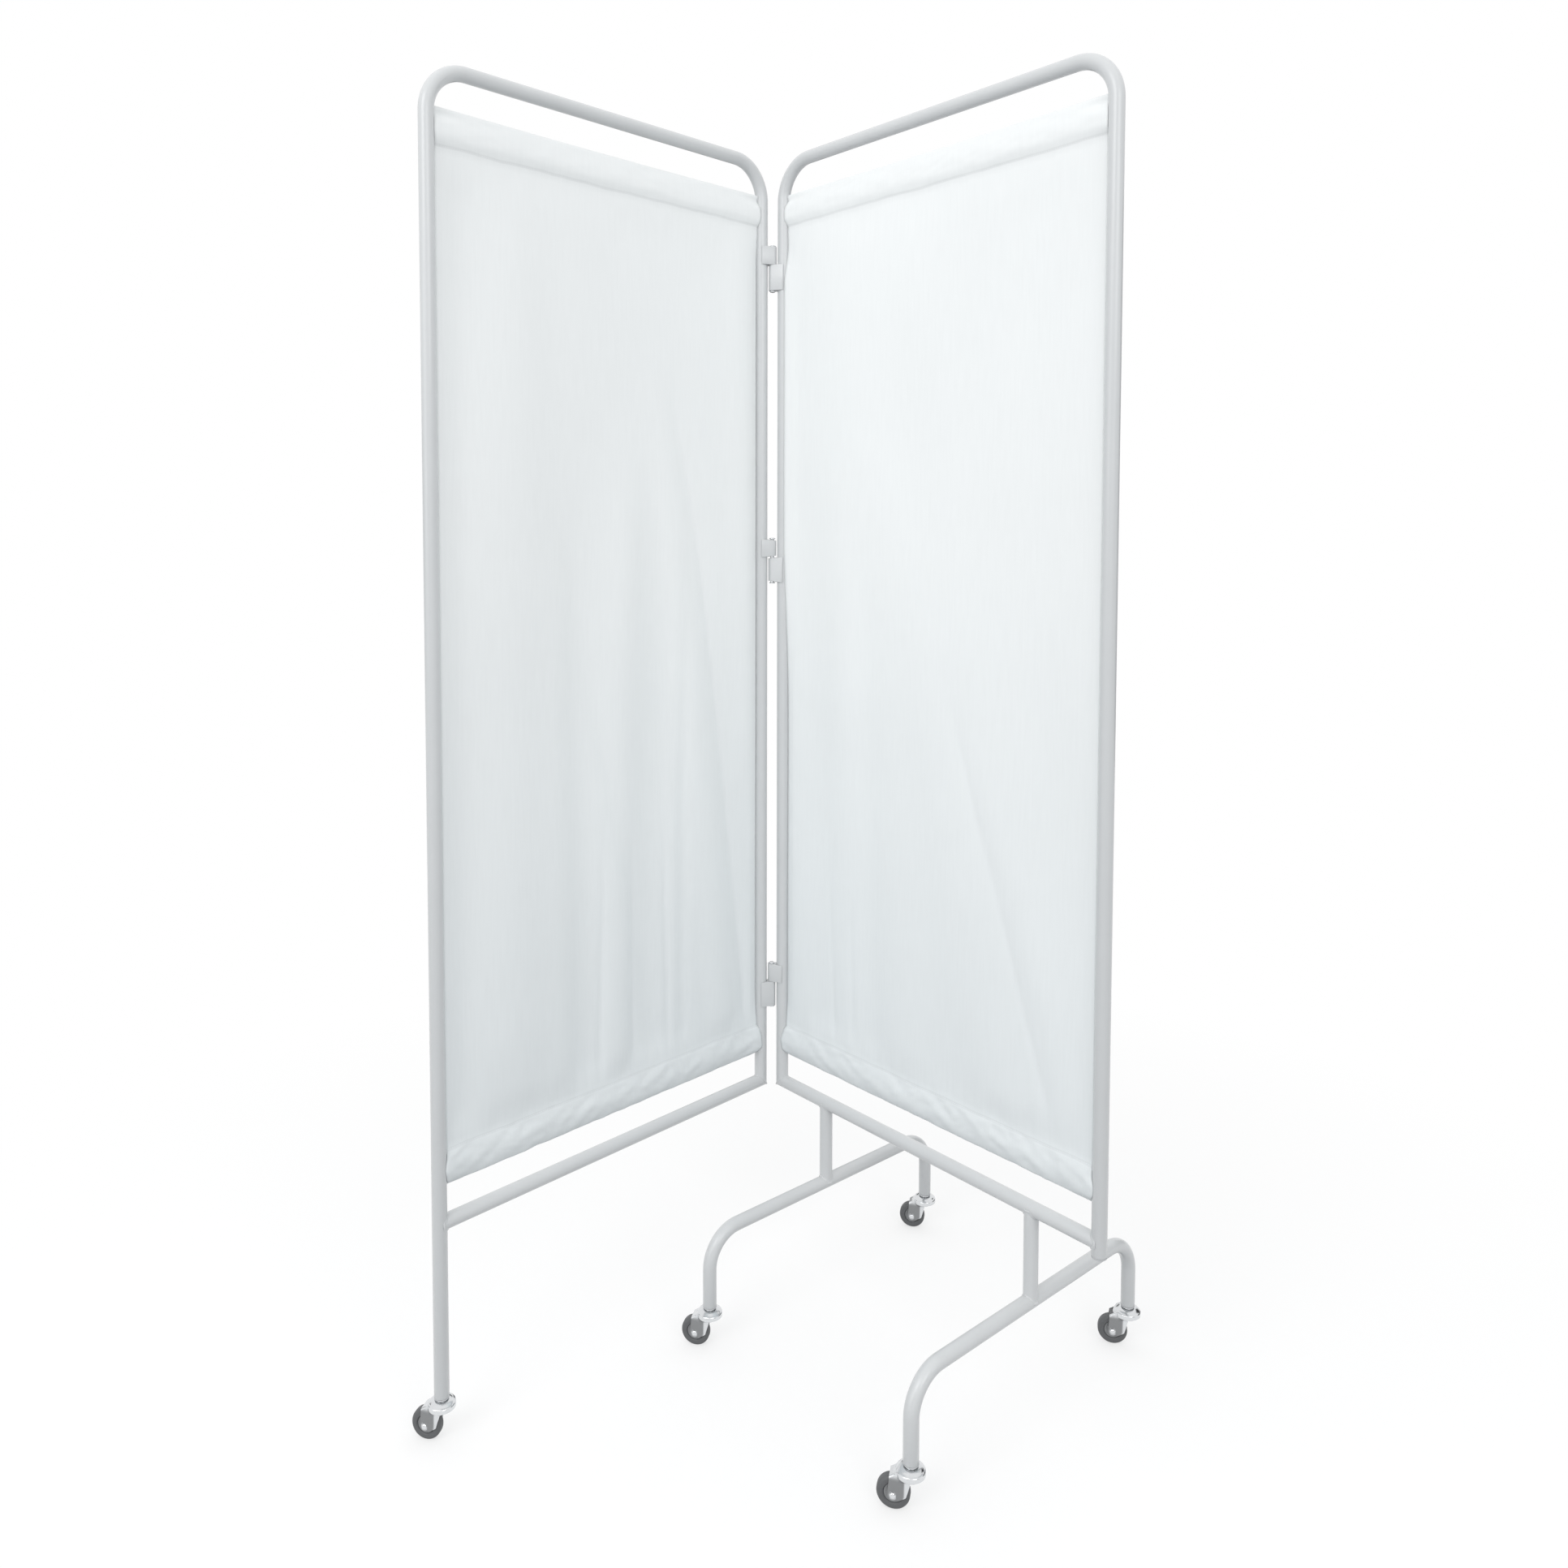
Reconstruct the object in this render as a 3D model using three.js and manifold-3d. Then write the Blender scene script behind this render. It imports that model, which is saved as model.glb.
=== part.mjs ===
// Ward privacy screen on wheels.
// Two bent-tube frames, each with a white curtain, stand at an angle and fold on three hinges.
// The braced frame stands on two feet with four casters. The wing frame hangs from it on the
// hinges and rolls on a caster under its outer leg.
// Millimetres, +Z up. The origin is on the floor, under the middle of the screen as it stands.

import * as THREE from 'three';
import { mergeVertices } from 'three/addons/utils/BufferGeometryUtils.js';
import Module from 'manifold-3d';

const wasm = await Module();
wasm.setup();

// Whole screen
const screenHeight = 1705;
const panelSpan = 572; // centre of one leg to the centre of the other
const openAngle = THREE.MathUtils.degToRad(85.5);
const tubeDiameter = 19;
const tubeWall = 1.2;
const weldGap = 0.3; // left between pieces that are joined for good
const runningGap = 0.3; // left between pieces that turn or slide past each other

// Frames
const railHeight = 279; // centre of the bottom rail above the floor
const frameBendRadius = 55; // on the tube's centre line
const legOverrun = 6; // the braced outer leg runs on below its rail

// Feet under the braced frame
const footInset = 99; // plane of a foot, in from the nearer leg
const footReach = 226; // stem of a foot, out from the plane of the frame
const footBeamHeight = 157.5;
const footBendRadius = 48;

// Hinges: the pin stands this far past a leg's centre, and this far in front of its plane
const pinPastLeg = 11.5;
const pinBeforeLeg = 12.5;
const pinDiameter = 6;
const barrelDiameter = 12;
const strapThickness = 1.6; // where a lug wraps over the front of its leg
const hingeHeight = 66; // of the two lugs together
const longLugHeight = 38.5;
const pinHeadDiameter = 9.6;
const pinHeadHeight = 2;
const topHingeDrop = 155; // middle of the top hinge below the centre of the top rail
const middleHingeDrop = 599;
const bottomHingeRise = 153.5; // middle of the bottom hinge above the centre of the bottom rail

// Curtains
const clothThickness = 1.6;
const rodDiameter = 8;
const clothDrop = 47; // top edge of a curtain below the centre of the top rail
const clothRise = 47; // bottom edge of a curtain above the centre of the bottom rail
const headingHeight = 22; // stands up above the rod pocket
const headerPocketHeight = 24;
const hemPocketHeight = 32;
const pocketFit = 0.4; // pocket lining to rod
const clothSideGap = 1.2; // side edge of a curtain to the leg
const foldDepth = 6;

// Casters
const casterHeight = 58; // floor to the cut end of the tube above
const wheelDiameter = 40;
const treadWidth = 13;
const tyreThickness = 6.4;
const casterTrail = 20;
const axleDiameter = 5;
const rivetDiameter = 8;
const rivetHeight = 1.5;
const hubWebThickness = 6;
const hubBossDiameter = 12;
const hubBossTaper = 1.2;
const forkSheet = 1.6;
const wheelSideGap = 1.2;
const wheelTopGap = 1.3;
const axleEyeRadius = 6;
const crownDiameter = 35;
const crownSeatDiameter = 19; // flat top of the dome, under the race
const crownDrop = 5.4; // the dome falls this far from its seat to its rim
const crownSkirt = 4.2;
const legFlareHeight = 6; // the legs widen to the dome over this height, below its skirt
const stemDiameter = 8;
const stemLength = 24; // up inside the socket
const raceDiameter = 17;
const raceThickness = 1.2;
const socketFlange = 1.5;
const socketLength = 27;
const plugFlange = 2;
const plugLength = 14;
const casterAngle = THREE.MathUtils.degToRad(215); // the way every caster trails at rest

// Counts
const tubeSides = 16;
const frameBendSteps = 6;
const footBendSteps = 6;
const rodSides = 10;
const clothSteps = 22;
const clothRows = 5;
const wheelSides = 20;
const hubSides = 14;
const stemSides = 12;
const crownSides = 18;
const axleSides = 8;
const pinSides = 10;
const barrelSteps = 9;
const saddleSteps = 5;
const eyeSteps = 5;

// Worked out from the above
const tubeRadius = tubeDiameter / 2;
const boreRadius = tubeRadius - tubeWall;
const topRailHeight = screenHeight - tubeRadius;
const innerLegAt = pinPastLeg;
const outerLegAt = pinPastLeg + panelSpan;
const wheelRadius = wheelDiameter / 2;
const overrun = wheelDiameter; // how far a cutting shape runs on past what it cuts
const mergeDistance = 0.0001; // corners closer than this are one

// Materials
const finish = (color, roughness, metalness) =>
  new THREE.MeshStandardMaterial({ color, roughness, metalness });
const whitePowderCoat = finish('#e9ebec', 0.38, 0);
const zincPlate = finish('#c9cdd2', 0.28, 0.9);
const curtainCloth = finish('#eceff0', 0.9, 0);
const tyreRubber = finish('#5b5c5e', 0.62, 0);
const hubPlastic = finish('#bfc1c2', 0.5, 0);
const socketPlastic = finish('#d9dbdc', 0.55, 0);
const steelRod = finish('#b9bdc1', 0.35, 0.9);

function piece(parent, name, geometry, material) {
  const mesh = new THREE.Mesh(geometry, material);
  mesh.name = name;
  parent.add(mesh);
  return mesh;
}

// Outlines

function arc(centre, radius, from, to, steps) {
  return Array.from({ length: steps + 1 }, (_, i) => {
    const turn = from + ((to - from) * i) / steps;
    return new THREE.Vector2(
      centre.x + radius * Math.cos(turn),
      centre.y + radius * Math.sin(turn),
    );
  });
}

function circle(radius, sides, centre = new THREE.Vector2()) {
  return arc(centre, radius, 0, 2 * Math.PI, sides).slice(0, sides);
}

// A revolved solid. The profile is a closed loop of [radius, height] pairs that runs outwards along
// its underside and back along its top.
function revolve(profile, sides) {
  const points = profile.map(([radius, height]) => new THREE.Vector2(radius, height));
  if (profile[0][0] > 0) points.push(points[0].clone());
  const geometry = new THREE.LatheGeometry(points, sides);
  geometry.rotateX(Math.PI / 2); // the turning axis becomes Z, and heights point up
  return geometry;
}

// Solids that are cut or joined

function toSolid(geometry) {
  const bare = new THREE.BufferGeometry();
  bare.setAttribute('position', geometry.getAttribute('position').clone());
  if (geometry.index) bare.setIndex(geometry.index.clone());
  const merged = mergeVertices(bare, mergeDistance);
  return new wasm.Manifold(
    new wasm.Mesh({
      numProp: 3,
      vertProperties: new Float32Array(merged.getAttribute('position').array),
      triVerts: new Uint32Array(merged.index.array),
    }),
  );
}

function toGeometry(solid) {
  const mesh = solid.getMesh();
  const geometry = new THREE.BufferGeometry();
  geometry.setAttribute('position', new THREE.BufferAttribute(mesh.vertProperties, 3));
  geometry.setIndex(new THREE.BufferAttribute(mesh.triVerts, 1));
  return geometry;
}

// Bent tubes
// A path of straight runs and right-angle bends, with a ring only where the tube needs one.
class BentPath extends THREE.Curve {
  constructor(corners, bendRadius, bendSteps) {
    super();
    const runs = corners.slice(1).map((corner, i) => corner.clone().sub(corners[i]).normalize());
    this.rings = [{ point: corners[0], tangent: runs[0] }];
    for (let i = 1; i < corners.length - 1; i += 1) {
      const [into, out] = [runs[i - 1], runs[i]];
      const centre = corners[i].clone().addScaledVector(into, -bendRadius).addScaledVector(out, bendRadius);
      for (let step = 0; step <= bendSteps; step += 1) {
        const turn = (Math.PI / 2) * (step / bendSteps);
        const point = centre
          .clone()
          .addScaledVector(into, bendRadius * Math.sin(turn))
          .addScaledVector(out, -bendRadius * Math.cos(turn));
        const tangent = into
          .clone()
          .multiplyScalar(Math.cos(turn))
          .addScaledVector(out, Math.sin(turn));
        this.rings.push({ point, tangent });
      }
    }
    this.rings.push({ point: corners.at(-1), tangent: runs.at(-1) });
  }

  get steps() {
    return this.rings.length - 1;
  }

  getPointAt(share, target = new THREE.Vector3()) {
    return target.copy(this.rings[Math.round(share * this.steps)].point);
  }

  getTangentAt(share, target = new THREE.Vector3()) {
    return target.copy(this.rings[Math.round(share * this.steps)].tangent);
  }
}

function sweep(section, corners, bendRadius = 0, bendSteps = 0) {
  const path = new BentPath(corners, bendRadius, bendSteps);
  return new THREE.ExtrudeGeometry(section, { steps: path.steps, extrudePath: path });
}

function tubeSection() {
  const section = new THREE.Shape(circle(tubeRadius, tubeSides));
  section.holes.push(new THREE.Path(circle(boreRadius, tubeSides)));
  return section;
}

// Cuts a piece back to the tubes that it is welded to. Each neighbour is the straight run of a
// tube, from one end to the other.
function copeTo(geometry, neighbours) {
  const clear = new THREE.Shape(circle(tubeRadius + weldGap, tubeSides));
  const cutters = neighbours.map((run) => toSolid(sweep(clear, run)));
  return toGeometry(cutters.reduce((solid, cutter) => solid.subtract(cutter), toSolid(geometry)));
}

// Moves the points of a piece that belong to what is shaped
function reshape(geometry, belongs, move) {
  const position = geometry.getAttribute('position');
  const point = new THREE.Vector3();
  for (let i = 0; i < position.count; i += 1) {
    point.fromBufferAttribute(position, i);
    if (belongs(point)) {
      move(point);
      position.setXYZ(i, point.x, point.y, point.z);
    }
  }
  return geometry;
}

// The two cut ends of a mitre each keep back this far along their own tube
const mitreBack = weldGap / Math.SQRT2;

// Frames
// A frame is drawn with its pin on the Z axis: x runs along the frame, from the pin to the outer
// leg, and its plane stands behind the pin. front is 1 or -1, the side of y that the pin is on.

const planeAt = (front) => -front * pinBeforeLeg;
const halfway = (innerLegAt + outerLegAt) / 2;

// The straight run of a frame's inner or outer leg that its rail and rods are coped to
function legRun(front, legAt) {
  const y = planeAt(front);
  return [new THREE.Vector3(legAt, y, 0), new THREE.Vector3(legAt, y, screenHeight)];
}

function frameTube(front, outerLegEnd) {
  const y = planeAt(front);
  const tube = sweep(
    tubeSection(),
    [
      new THREE.Vector3(outerLegAt, y, outerLegEnd),
      new THREE.Vector3(outerLegAt, y, topRailHeight),
      new THREE.Vector3(innerLegAt, y, topRailHeight),
      new THREE.Vector3(innerLegAt, y, railHeight),
    ],
    frameBendRadius,
    frameBendSteps,
  );
  const isInnerEnd = (p) => p.x < halfway && p.z < screenHeight / 2;
  return reshape(tube, isInnerEnd, (p) => {
    p.z = railHeight + (p.x - innerLegAt) + mitreBack;
  });
}

function bottomRail(front) {
  const y = planeAt(front);
  const rail = sweep(tubeSection(), [
    new THREE.Vector3(innerLegAt, y, railHeight),
    new THREE.Vector3(outerLegAt, y, railHeight),
  ]);
  reshape(rail, (p) => p.x < halfway, (p) => {
    p.x = innerLegAt + (p.z - railHeight) + mitreBack;
  });
  return copeTo(rail, [legRun(front, outerLegAt)]);
}

// Feet

function footTube(x, planeY) {
  return sweep(
    tubeSection(),
    [
      new THREE.Vector3(x, planeY - footReach, casterHeight),
      new THREE.Vector3(x, planeY - footReach, footBeamHeight),
      new THREE.Vector3(x, planeY + footReach, footBeamHeight),
      new THREE.Vector3(x, planeY + footReach, casterHeight),
    ],
    footBendRadius,
    footBendSteps,
  );
}

function footPost(x, planeY) {
  const post = sweep(tubeSection(), [
    new THREE.Vector3(x, planeY, footBeamHeight),
    new THREE.Vector3(x, planeY, railHeight),
  ]);
  const rail = [
    new THREE.Vector3(x - tubeDiameter, planeY, railHeight),
    new THREE.Vector3(x + tubeDiameter, planeY, railHeight),
  ];
  const beam = [
    new THREE.Vector3(x, planeY - tubeDiameter, footBeamHeight),
    new THREE.Vector3(x, planeY + tubeDiameter, footBeamHeight),
  ];
  return copeTo(post, [rail, beam]);
}

function legPlug() {
  const flangeBevel = plugFlange / 4;
  const shankRadius = boreRadius - weldGap;
  return revolve(
    [
      [0, -weldGap - plugFlange],
      [tubeRadius - flangeBevel, -weldGap - plugFlange],
      [tubeRadius, -weldGap - plugFlange + flangeBevel],
      [tubeRadius, -weldGap],
      [shankRadius, -weldGap],
      [shankRadius, plugLength],
      [0, plugLength],
    ],
    tubeSides,
  );
}

// Hinges

// Seen from above: a barrel round the pin, carried by an arm that fits against the leg and wraps
// over the front of it
function lugGeometry(front, height) {
  const leg = new THREE.Vector2(pinPastLeg, -pinBeforeLeg);
  const barrelRadius = barrelDiameter / 2;
  const saddleRadius = tubeRadius + weldGap;
  const strapRadius = saddleRadius + strapThickness;
  const toPin = leg.clone().negate().angle();
  const lean = Math.acos((strapRadius - barrelRadius) / leg.length());
  const frontTangent = toPin - lean;
  const strapWrap = frontTangent - Math.PI / 15;
  const saddleBack = toPin + Math.PI / 5;
  const pin = new THREE.Vector2();
  const outline = [
    ...arc(leg, saddleRadius, saddleBack, strapWrap, saddleSteps),
    ...arc(leg, strapRadius, strapWrap, frontTangent, 1),
    ...arc(pin, barrelRadius, frontTangent, toPin + Math.PI / 2, barrelSteps),
  ];
  const section = new THREE.Shape(outline.map((p) => new THREE.Vector2(p.x, p.y * front)));
  section.holes.push(new THREE.Path(circle(pinDiameter / 2 + runningGap, pinSides)));
  return new THREE.ExtrudeGeometry(section, { depth: height, bevelEnabled: false });
}

function pinGeometry() {
  const radius = pinDiameter / 2;
  const headRadius = pinHeadDiameter / 2;
  const top = hingeHeight / 2 + runningGap;
  const crown = top + pinHeadHeight;
  const shoulder = top + pinHeadHeight / 2;
  return revolve(
    [
      [0, -crown],
      [headRadius * 0.7, -crown],
      [headRadius, -shoulder],
      [headRadius, -top],
      [radius, -top],
      [radius, top],
      [headRadius, top],
      [headRadius, shoulder],
      [headRadius * 0.7, crown],
      [0, crown],
    ],
    pinSides,
  );
}

// Curtains
// The cloth's section, seen along the frame: a heading that stands up, a pocket round each rod and
// the sheet between. It is drawn flat and then pushed into folds.

const headerRodHeight = topRailHeight - clothDrop - headingHeight - headerPocketHeight / 2;
const hemRodHeight = railHeight + clothRise + hemPocketHeight / 2;

function pocketSide(rodHeight, pocketHeight) {
  const puff = rodDiameter / 2 + pocketFit + clothThickness;
  return [
    [clothThickness / 2, rodHeight + pocketHeight / 2],
    [puff, rodHeight + rodDiameter / 3],
    [puff, rodHeight - rodDiameter / 3],
    [clothThickness / 2, rodHeight - pocketHeight / 2],
  ];
}

function pocketBore(rodHeight, pocketHeight) {
  const wide = rodDiameter / 2 + pocketFit;
  const tall = pocketHeight / 2 - clothThickness * 1.6;
  const side = rodDiameter * 0.3;
  return [
    [wide, side],
    [0, tall],
    [-wide, side],
    [-wide, -side],
    [0, -tall],
    [wide, -side],
  ].map(([y, z]) => new THREE.Vector2(y, rodHeight + z));
}

function curtainGeometry(front, fold) {
  const header = pocketSide(headerRodHeight, headerPocketHeight);
  const hem = pocketSide(hemRodHeight, hemPocketHeight);
  const sheetTop = header.at(-1)[1];
  const sheetBottom = hem[0][1];
  const rows = Array.from({ length: clothRows }, (_, i) => {
    const share = (i + 1) / (clothRows + 1);
    return [clothThickness / 2, sheetTop + (sheetBottom - sheetTop) * share];
  });
  const heading = [clothThickness / 2, topRailHeight - clothDrop];
  const side = [heading, ...header, ...rows, ...hem];
  const otherSide = side.map(([y, z]) => [-y, z]).reverse();
  const section = new THREE.Shape([...side, ...otherSide].map(([y, z]) => new THREE.Vector2(y, z)));
  section.holes.push(new THREE.Path(pocketBore(headerRodHeight, headerPocketHeight)));
  section.holes.push(new THREE.Path(pocketBore(hemRodHeight, hemPocketHeight)));

  const start = innerLegAt + tubeRadius + clothSideGap;
  const width = panelSpan - tubeDiameter - 2 * clothSideGap;
  const cloth = new THREE.ExtrudeGeometry(section, {
    depth: width,
    steps: clothSteps,
    bevelEnabled: false,
  });
  const along = new THREE.Vector3(1, 0, 0);
  const across = new THREE.Vector3(0, 1, 0);
  const up = new THREE.Vector3(0, 0, 1);
  cloth.applyMatrix4(new THREE.Matrix4().makeBasis(across, up, along));
  return reshape(cloth, () => true, (p) => {
    const acrossShare = p.x / width;
    const downShare = THREE.MathUtils.clamp((sheetTop - p.z) / (sheetTop - sheetBottom), 0, 1);
    p.y += front * foldDepth * fold(acrossShare, downShare) + planeAt(front);
    p.x += start;
  });
}

// Folds are a share of the fold depth, none at the pockets, from the shares across and down
const slack = (downShare) => Math.sin(Math.PI * downShare) ** 0.7;
const wave = (turns) => Math.sin(2 * Math.PI * turns);

function wingFold(acrossShare, downShare) {
  const upright = wave(4.4 * acrossShare + 0.3 * downShare);
  const leaning = wave(1.8 * acrossShare - 0.7 * downShare + 0.2);
  const fuller = 0.45 + 0.55 * downShare;
  return slack(downShare) * fuller * (0.6 * upright + 0.4 * leaning);
}

function bracedFold(acrossShare, downShare) {
  const diagonal = wave(1.6 * acrossShare - 1.1 * downShare + 0.1);
  const upright = wave(3.2 * acrossShare + 0.4 * downShare);
  return slack(downShare) * (0.55 * diagonal + 0.3 * upright * downShare);
}

function curtainRod(front, rodHeight) {
  const y = planeAt(front);
  const section = new THREE.Shape(circle(rodDiameter / 2, rodSides));
  const rod = sweep(section, [
    new THREE.Vector3(innerLegAt, y, rodHeight),
    new THREE.Vector3(outerLegAt, y, rodHeight),
  ]);
  return copeTo(rod, [legRun(front, innerLegAt), legRun(front, outerLegAt)]);
}

// Casters
// A caster is drawn with its stem on the Z axis and the floor at zero. The wheel trails towards +X
// and turns on an axle along Y.

const axleHeight = wheelRadius;
const wheelCentre = new THREE.Vector2(casterTrail, axleHeight);
const socketUnderside = casterHeight - weldGap - socketFlange;
const raceUnderside = socketUnderside - weldGap - raceThickness;
const crownTop = raceUnderside - runningGap;
const forkHalfWidth = treadWidth / 2 + wheelSideGap + forkSheet;
const domeShoulderShare = 0.68; // height of the dome half way out from its seat
const legFrontShare = 0.42; // front of a leg at the skirt, over the dome's radius
const hoodStartShare = 0.2; // where the hood leaves the dome, over the seat's diameter

function socketGeometry() {
  const bore = stemDiameter / 2 + runningGap;
  const shankRadius = boreRadius - weldGap;
  const top = socketUnderside + socketLength;
  return revolve(
    [
      [bore, socketUnderside],
      [tubeRadius, socketUnderside],
      [tubeRadius, socketUnderside + socketFlange],
      [shankRadius, socketUnderside + socketFlange],
      [shankRadius, top],
      [bore, top],
    ],
    stemSides,
  );
}

// The stem, the upper race that is pressed on it and the riveted end under the fork's crown
function stemGeometry() {
  const stemRadius = stemDiameter / 2;
  const rivetTop = crownTop - forkSheet - runningGap;
  return revolve(
    [
      [0, rivetTop - rivetHeight],
      [stemRadius * 1.3, rivetTop - rivetHeight],
      [stemRadius * 1.6, rivetTop],
      [stemRadius, rivetTop],
      [stemRadius, raceUnderside],
      [raceDiameter / 2, raceUnderside],
      [raceDiameter / 2, raceUnderside + raceThickness],
      [stemRadius, raceUnderside + raceThickness],
      [stemRadius, socketUnderside + stemLength],
      [0, socketUnderside + stemLength],
    ],
    stemSides,
  );
}

// A shape drawn from the side, x along the trail and y up, given a width about the caster's middle
function sidewall(outline, halfWidth) {
  const plate = new THREE.ExtrudeGeometry(new THREE.Shape(outline), {
    depth: 2 * halfWidth,
    bevelEnabled: false,
  });
  plate.rotateX(Math.PI / 2);
  plate.translate(0, halfWidth, 0);
  return plate;
}

// A shape drawn from the front, x across the caster and y up, run along the whole caster
function frontwall(outline) {
  const plate = new THREE.ExtrudeGeometry(new THREE.Shape(outline), {
    depth: 2 * overrun,
    bevelEnabled: false,
  });
  plate.rotateX(Math.PI / 2);
  plate.rotateZ(Math.PI / 2);
  plate.translate(-overrun, 0, 0);
  return plate;
}

// The outside of the fork, or its inside where it is drawn one sheet smaller. A round dome with a
// skirt stands on two legs, which are as wide as the dome at its skirt and draw in to the wheel.
function forkForm(legOutline, inset) {
  const halfWidth = forkHalfWidth - inset;
  const crownRadius = crownDiameter / 2 - inset;
  const domeTop = crownTop - inset;
  const rimTop = domeTop - crownDrop;
  const skirtEnd = crownTop - crownDrop - crownSkirt;
  const skirtFrom = inset > 0 ? skirtEnd - inset : skirtEnd;
  const dome = revolve(
    [
      [0, skirtFrom],
      [crownRadius, skirtFrom],
      [crownRadius, rimTop],
      [(crownRadius + crownSeatDiameter / 2) / 2, rimTop + crownDrop * domeShoulderShare],
      [crownSeatDiameter / 2 - inset, domeTop],
      [0, domeTop],
    ],
    crownSides,
  );
  const column = revolve(
    [
      [0, 0],
      [crownRadius, 0],
      [crownRadius, rimTop],
      [0, rimTop],
    ],
    crownSides,
  );
  const flared = frontwall([
    new THREE.Vector2(-halfWidth, 0),
    new THREE.Vector2(halfWidth, 0),
    new THREE.Vector2(halfWidth, skirtEnd - legFlareHeight),
    new THREE.Vector2(crownRadius, skirtEnd),
    new THREE.Vector2(crownRadius, rimTop),
    new THREE.Vector2(-crownRadius, rimTop),
    new THREE.Vector2(-crownRadius, skirtEnd),
    new THREE.Vector2(-halfWidth, skirtEnd - legFlareHeight),
  ]);
  const straight = toSolid(sidewall(legOutline, halfWidth));
  const wide = toSolid(sidewall(legOutline, crownRadius))
    .intersect(toSolid(flared))
    .intersect(toSolid(column));
  return { dome: toSolid(dome), legs: straight.add(wide) };
}

// One pressed sheet: a dome that turns under the race, two legs that come down to the axle, and a
// hood that joins them over the wheel
function forkGeometry() {
  const crownRadius = crownDiameter / 2;
  const hoodInner = wheelRadius + wheelTopGap;
  const hoodOuter = hoodInner + forkSheet;
  const hoodEnd = THREE.MathUtils.degToRad(79);
  const eyeFront = THREE.MathUtils.degToRad(215);
  const eyeBack = THREE.MathUtils.degToRad(380);
  const skirtEnd = crownTop - crownDrop - crownSkirt;
  const onHood = (radius) => arc(wheelCentre, radius, hoodEnd, hoodEnd, 1)[0];
  const hoodStart = crownSeatDiameter * hoodStartShare;

  const legOutline = [
    new THREE.Vector2(-crownRadius * legFrontShare, crownTop - crownDrop),
    new THREE.Vector2(-crownRadius * legFrontShare, skirtEnd),
    new THREE.Vector2(0, skirtEnd - legFlareHeight),
    ...arc(wheelCentre, axleEyeRadius, eyeFront, eyeBack, eyeSteps),
    onHood(hoodOuter),
    new THREE.Vector2(hoodStart, crownTop - forkSheet / 4),
  ];
  const legRoom = [
    new THREE.Vector2(-overrun, -overrun),
    new THREE.Vector2(overrun, -overrun),
    new THREE.Vector2(overrun, axleHeight),
    onHood(hoodInner),
    new THREE.Vector2(hoodStart, crownTop - forkSheet * 1.5),
    new THREE.Vector2(-crownRadius * legFrontShare, crownTop - forkSheet * 1.5),
    new THREE.Vector2(-crownRadius * legFrontShare, skirtEnd),
    new THREE.Vector2(-overrun, skirtEnd),
  ];
  const outside = forkForm(legOutline, 0);
  const inside = forkForm(legRoom, forkSheet);
  const stemHole = revolve(
    [
      [0, 0],
      [stemDiameter / 2 + runningGap, 0],
      [stemDiameter / 2 + runningGap, crownTop + overrun],
      [0, crownTop + overrun],
    ],
    stemSides,
  );
  const axleHole = sidewall(circle(axleDiameter / 2 + runningGap, axleSides, wheelCentre), overrun);
  const wheelRoom = sidewall(circle(hoodInner, wheelSides, wheelCentre), forkHalfWidth - forkSheet);
  const fork = outside.dome
    .add(outside.legs)
    .subtract(inside.legs)
    .subtract(inside.dome)
    .subtract(toSolid(wheelRoom))
    .subtract(toSolid(stemHole))
    .subtract(toSolid(axleHole));
  return toGeometry(fork);
}

// Wheel pieces are revolved about Z, then laid on the axle

function onAxle(geometry) {
  geometry.rotateX(Math.PI / 2);
  geometry.translate(wheelCentre.x, 0, wheelCentre.y);
  return geometry;
}

function axleGeometry() {
  const radius = axleDiameter / 2;
  const headRadius = rivetDiameter / 2;
  const seat = forkHalfWidth + runningGap;
  const crown = seat + rivetHeight;
  return onAxle(
    revolve(
      [
        [0, -crown],
        [headRadius * 0.6, -crown],
        [headRadius, -seat],
        [radius, -seat],
        [radius, seat],
        [headRadius, seat],
        [headRadius * 0.6, crown],
        [0, crown],
      ],
      axleSides,
    ),
  );
}

const hubRadius = wheelRadius - tyreThickness;

function hubGeometry() {
  const bore = axleDiameter / 2 + runningGap;
  const halfBoss = treadWidth / 2 + wheelSideGap - runningGap * 2;
  const bossRadius = hubBossDiameter / 2;
  const halfWeb = hubWebThickness / 2;
  const halfRim = treadWidth / 2 - runningGap * 2;
  return onAxle(
    revolve(
      [
        [bore, -halfBoss],
        [bossRadius - hubBossTaper, -halfBoss],
        [bossRadius + hubBossTaper, -halfWeb],
        [hubRadius - runningGap, -halfRim],
        [hubRadius - runningGap, halfRim],
        [bossRadius + hubBossTaper, halfWeb],
        [bossRadius - hubBossTaper, halfBoss],
        [bore, halfBoss],
      ],
      hubSides,
    ),
  );
}

// A flat of the tread lies on the floor, so the flats, not the corners, are at the wheel's radius
function tyreGeometry() {
  const toCorner = 1 / Math.cos(Math.PI / wheelSides);
  const halfWidth = treadWidth / 2;
  const shoulder = tyreThickness / 3;
  const tread = wheelRadius * toCorner;
  const seat = hubRadius * toCorner;
  const tyre = revolve(
    [
      [seat, -halfWidth],
      [tread - shoulder, -halfWidth],
      [tread - shoulder * 0.25, -halfWidth + shoulder * 0.75],
      [tread, -halfWidth + shoulder * 1.6],
      [tread, halfWidth - shoulder * 1.6],
      [tread - shoulder * 0.25, halfWidth - shoulder * 0.75],
      [tread - shoulder, halfWidth],
      [seat, halfWidth],
    ],
    wheelSides,
  );
  tyre.rotateZ(Math.PI / wheelSides);
  return onAxle(tyre);
}

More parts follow.
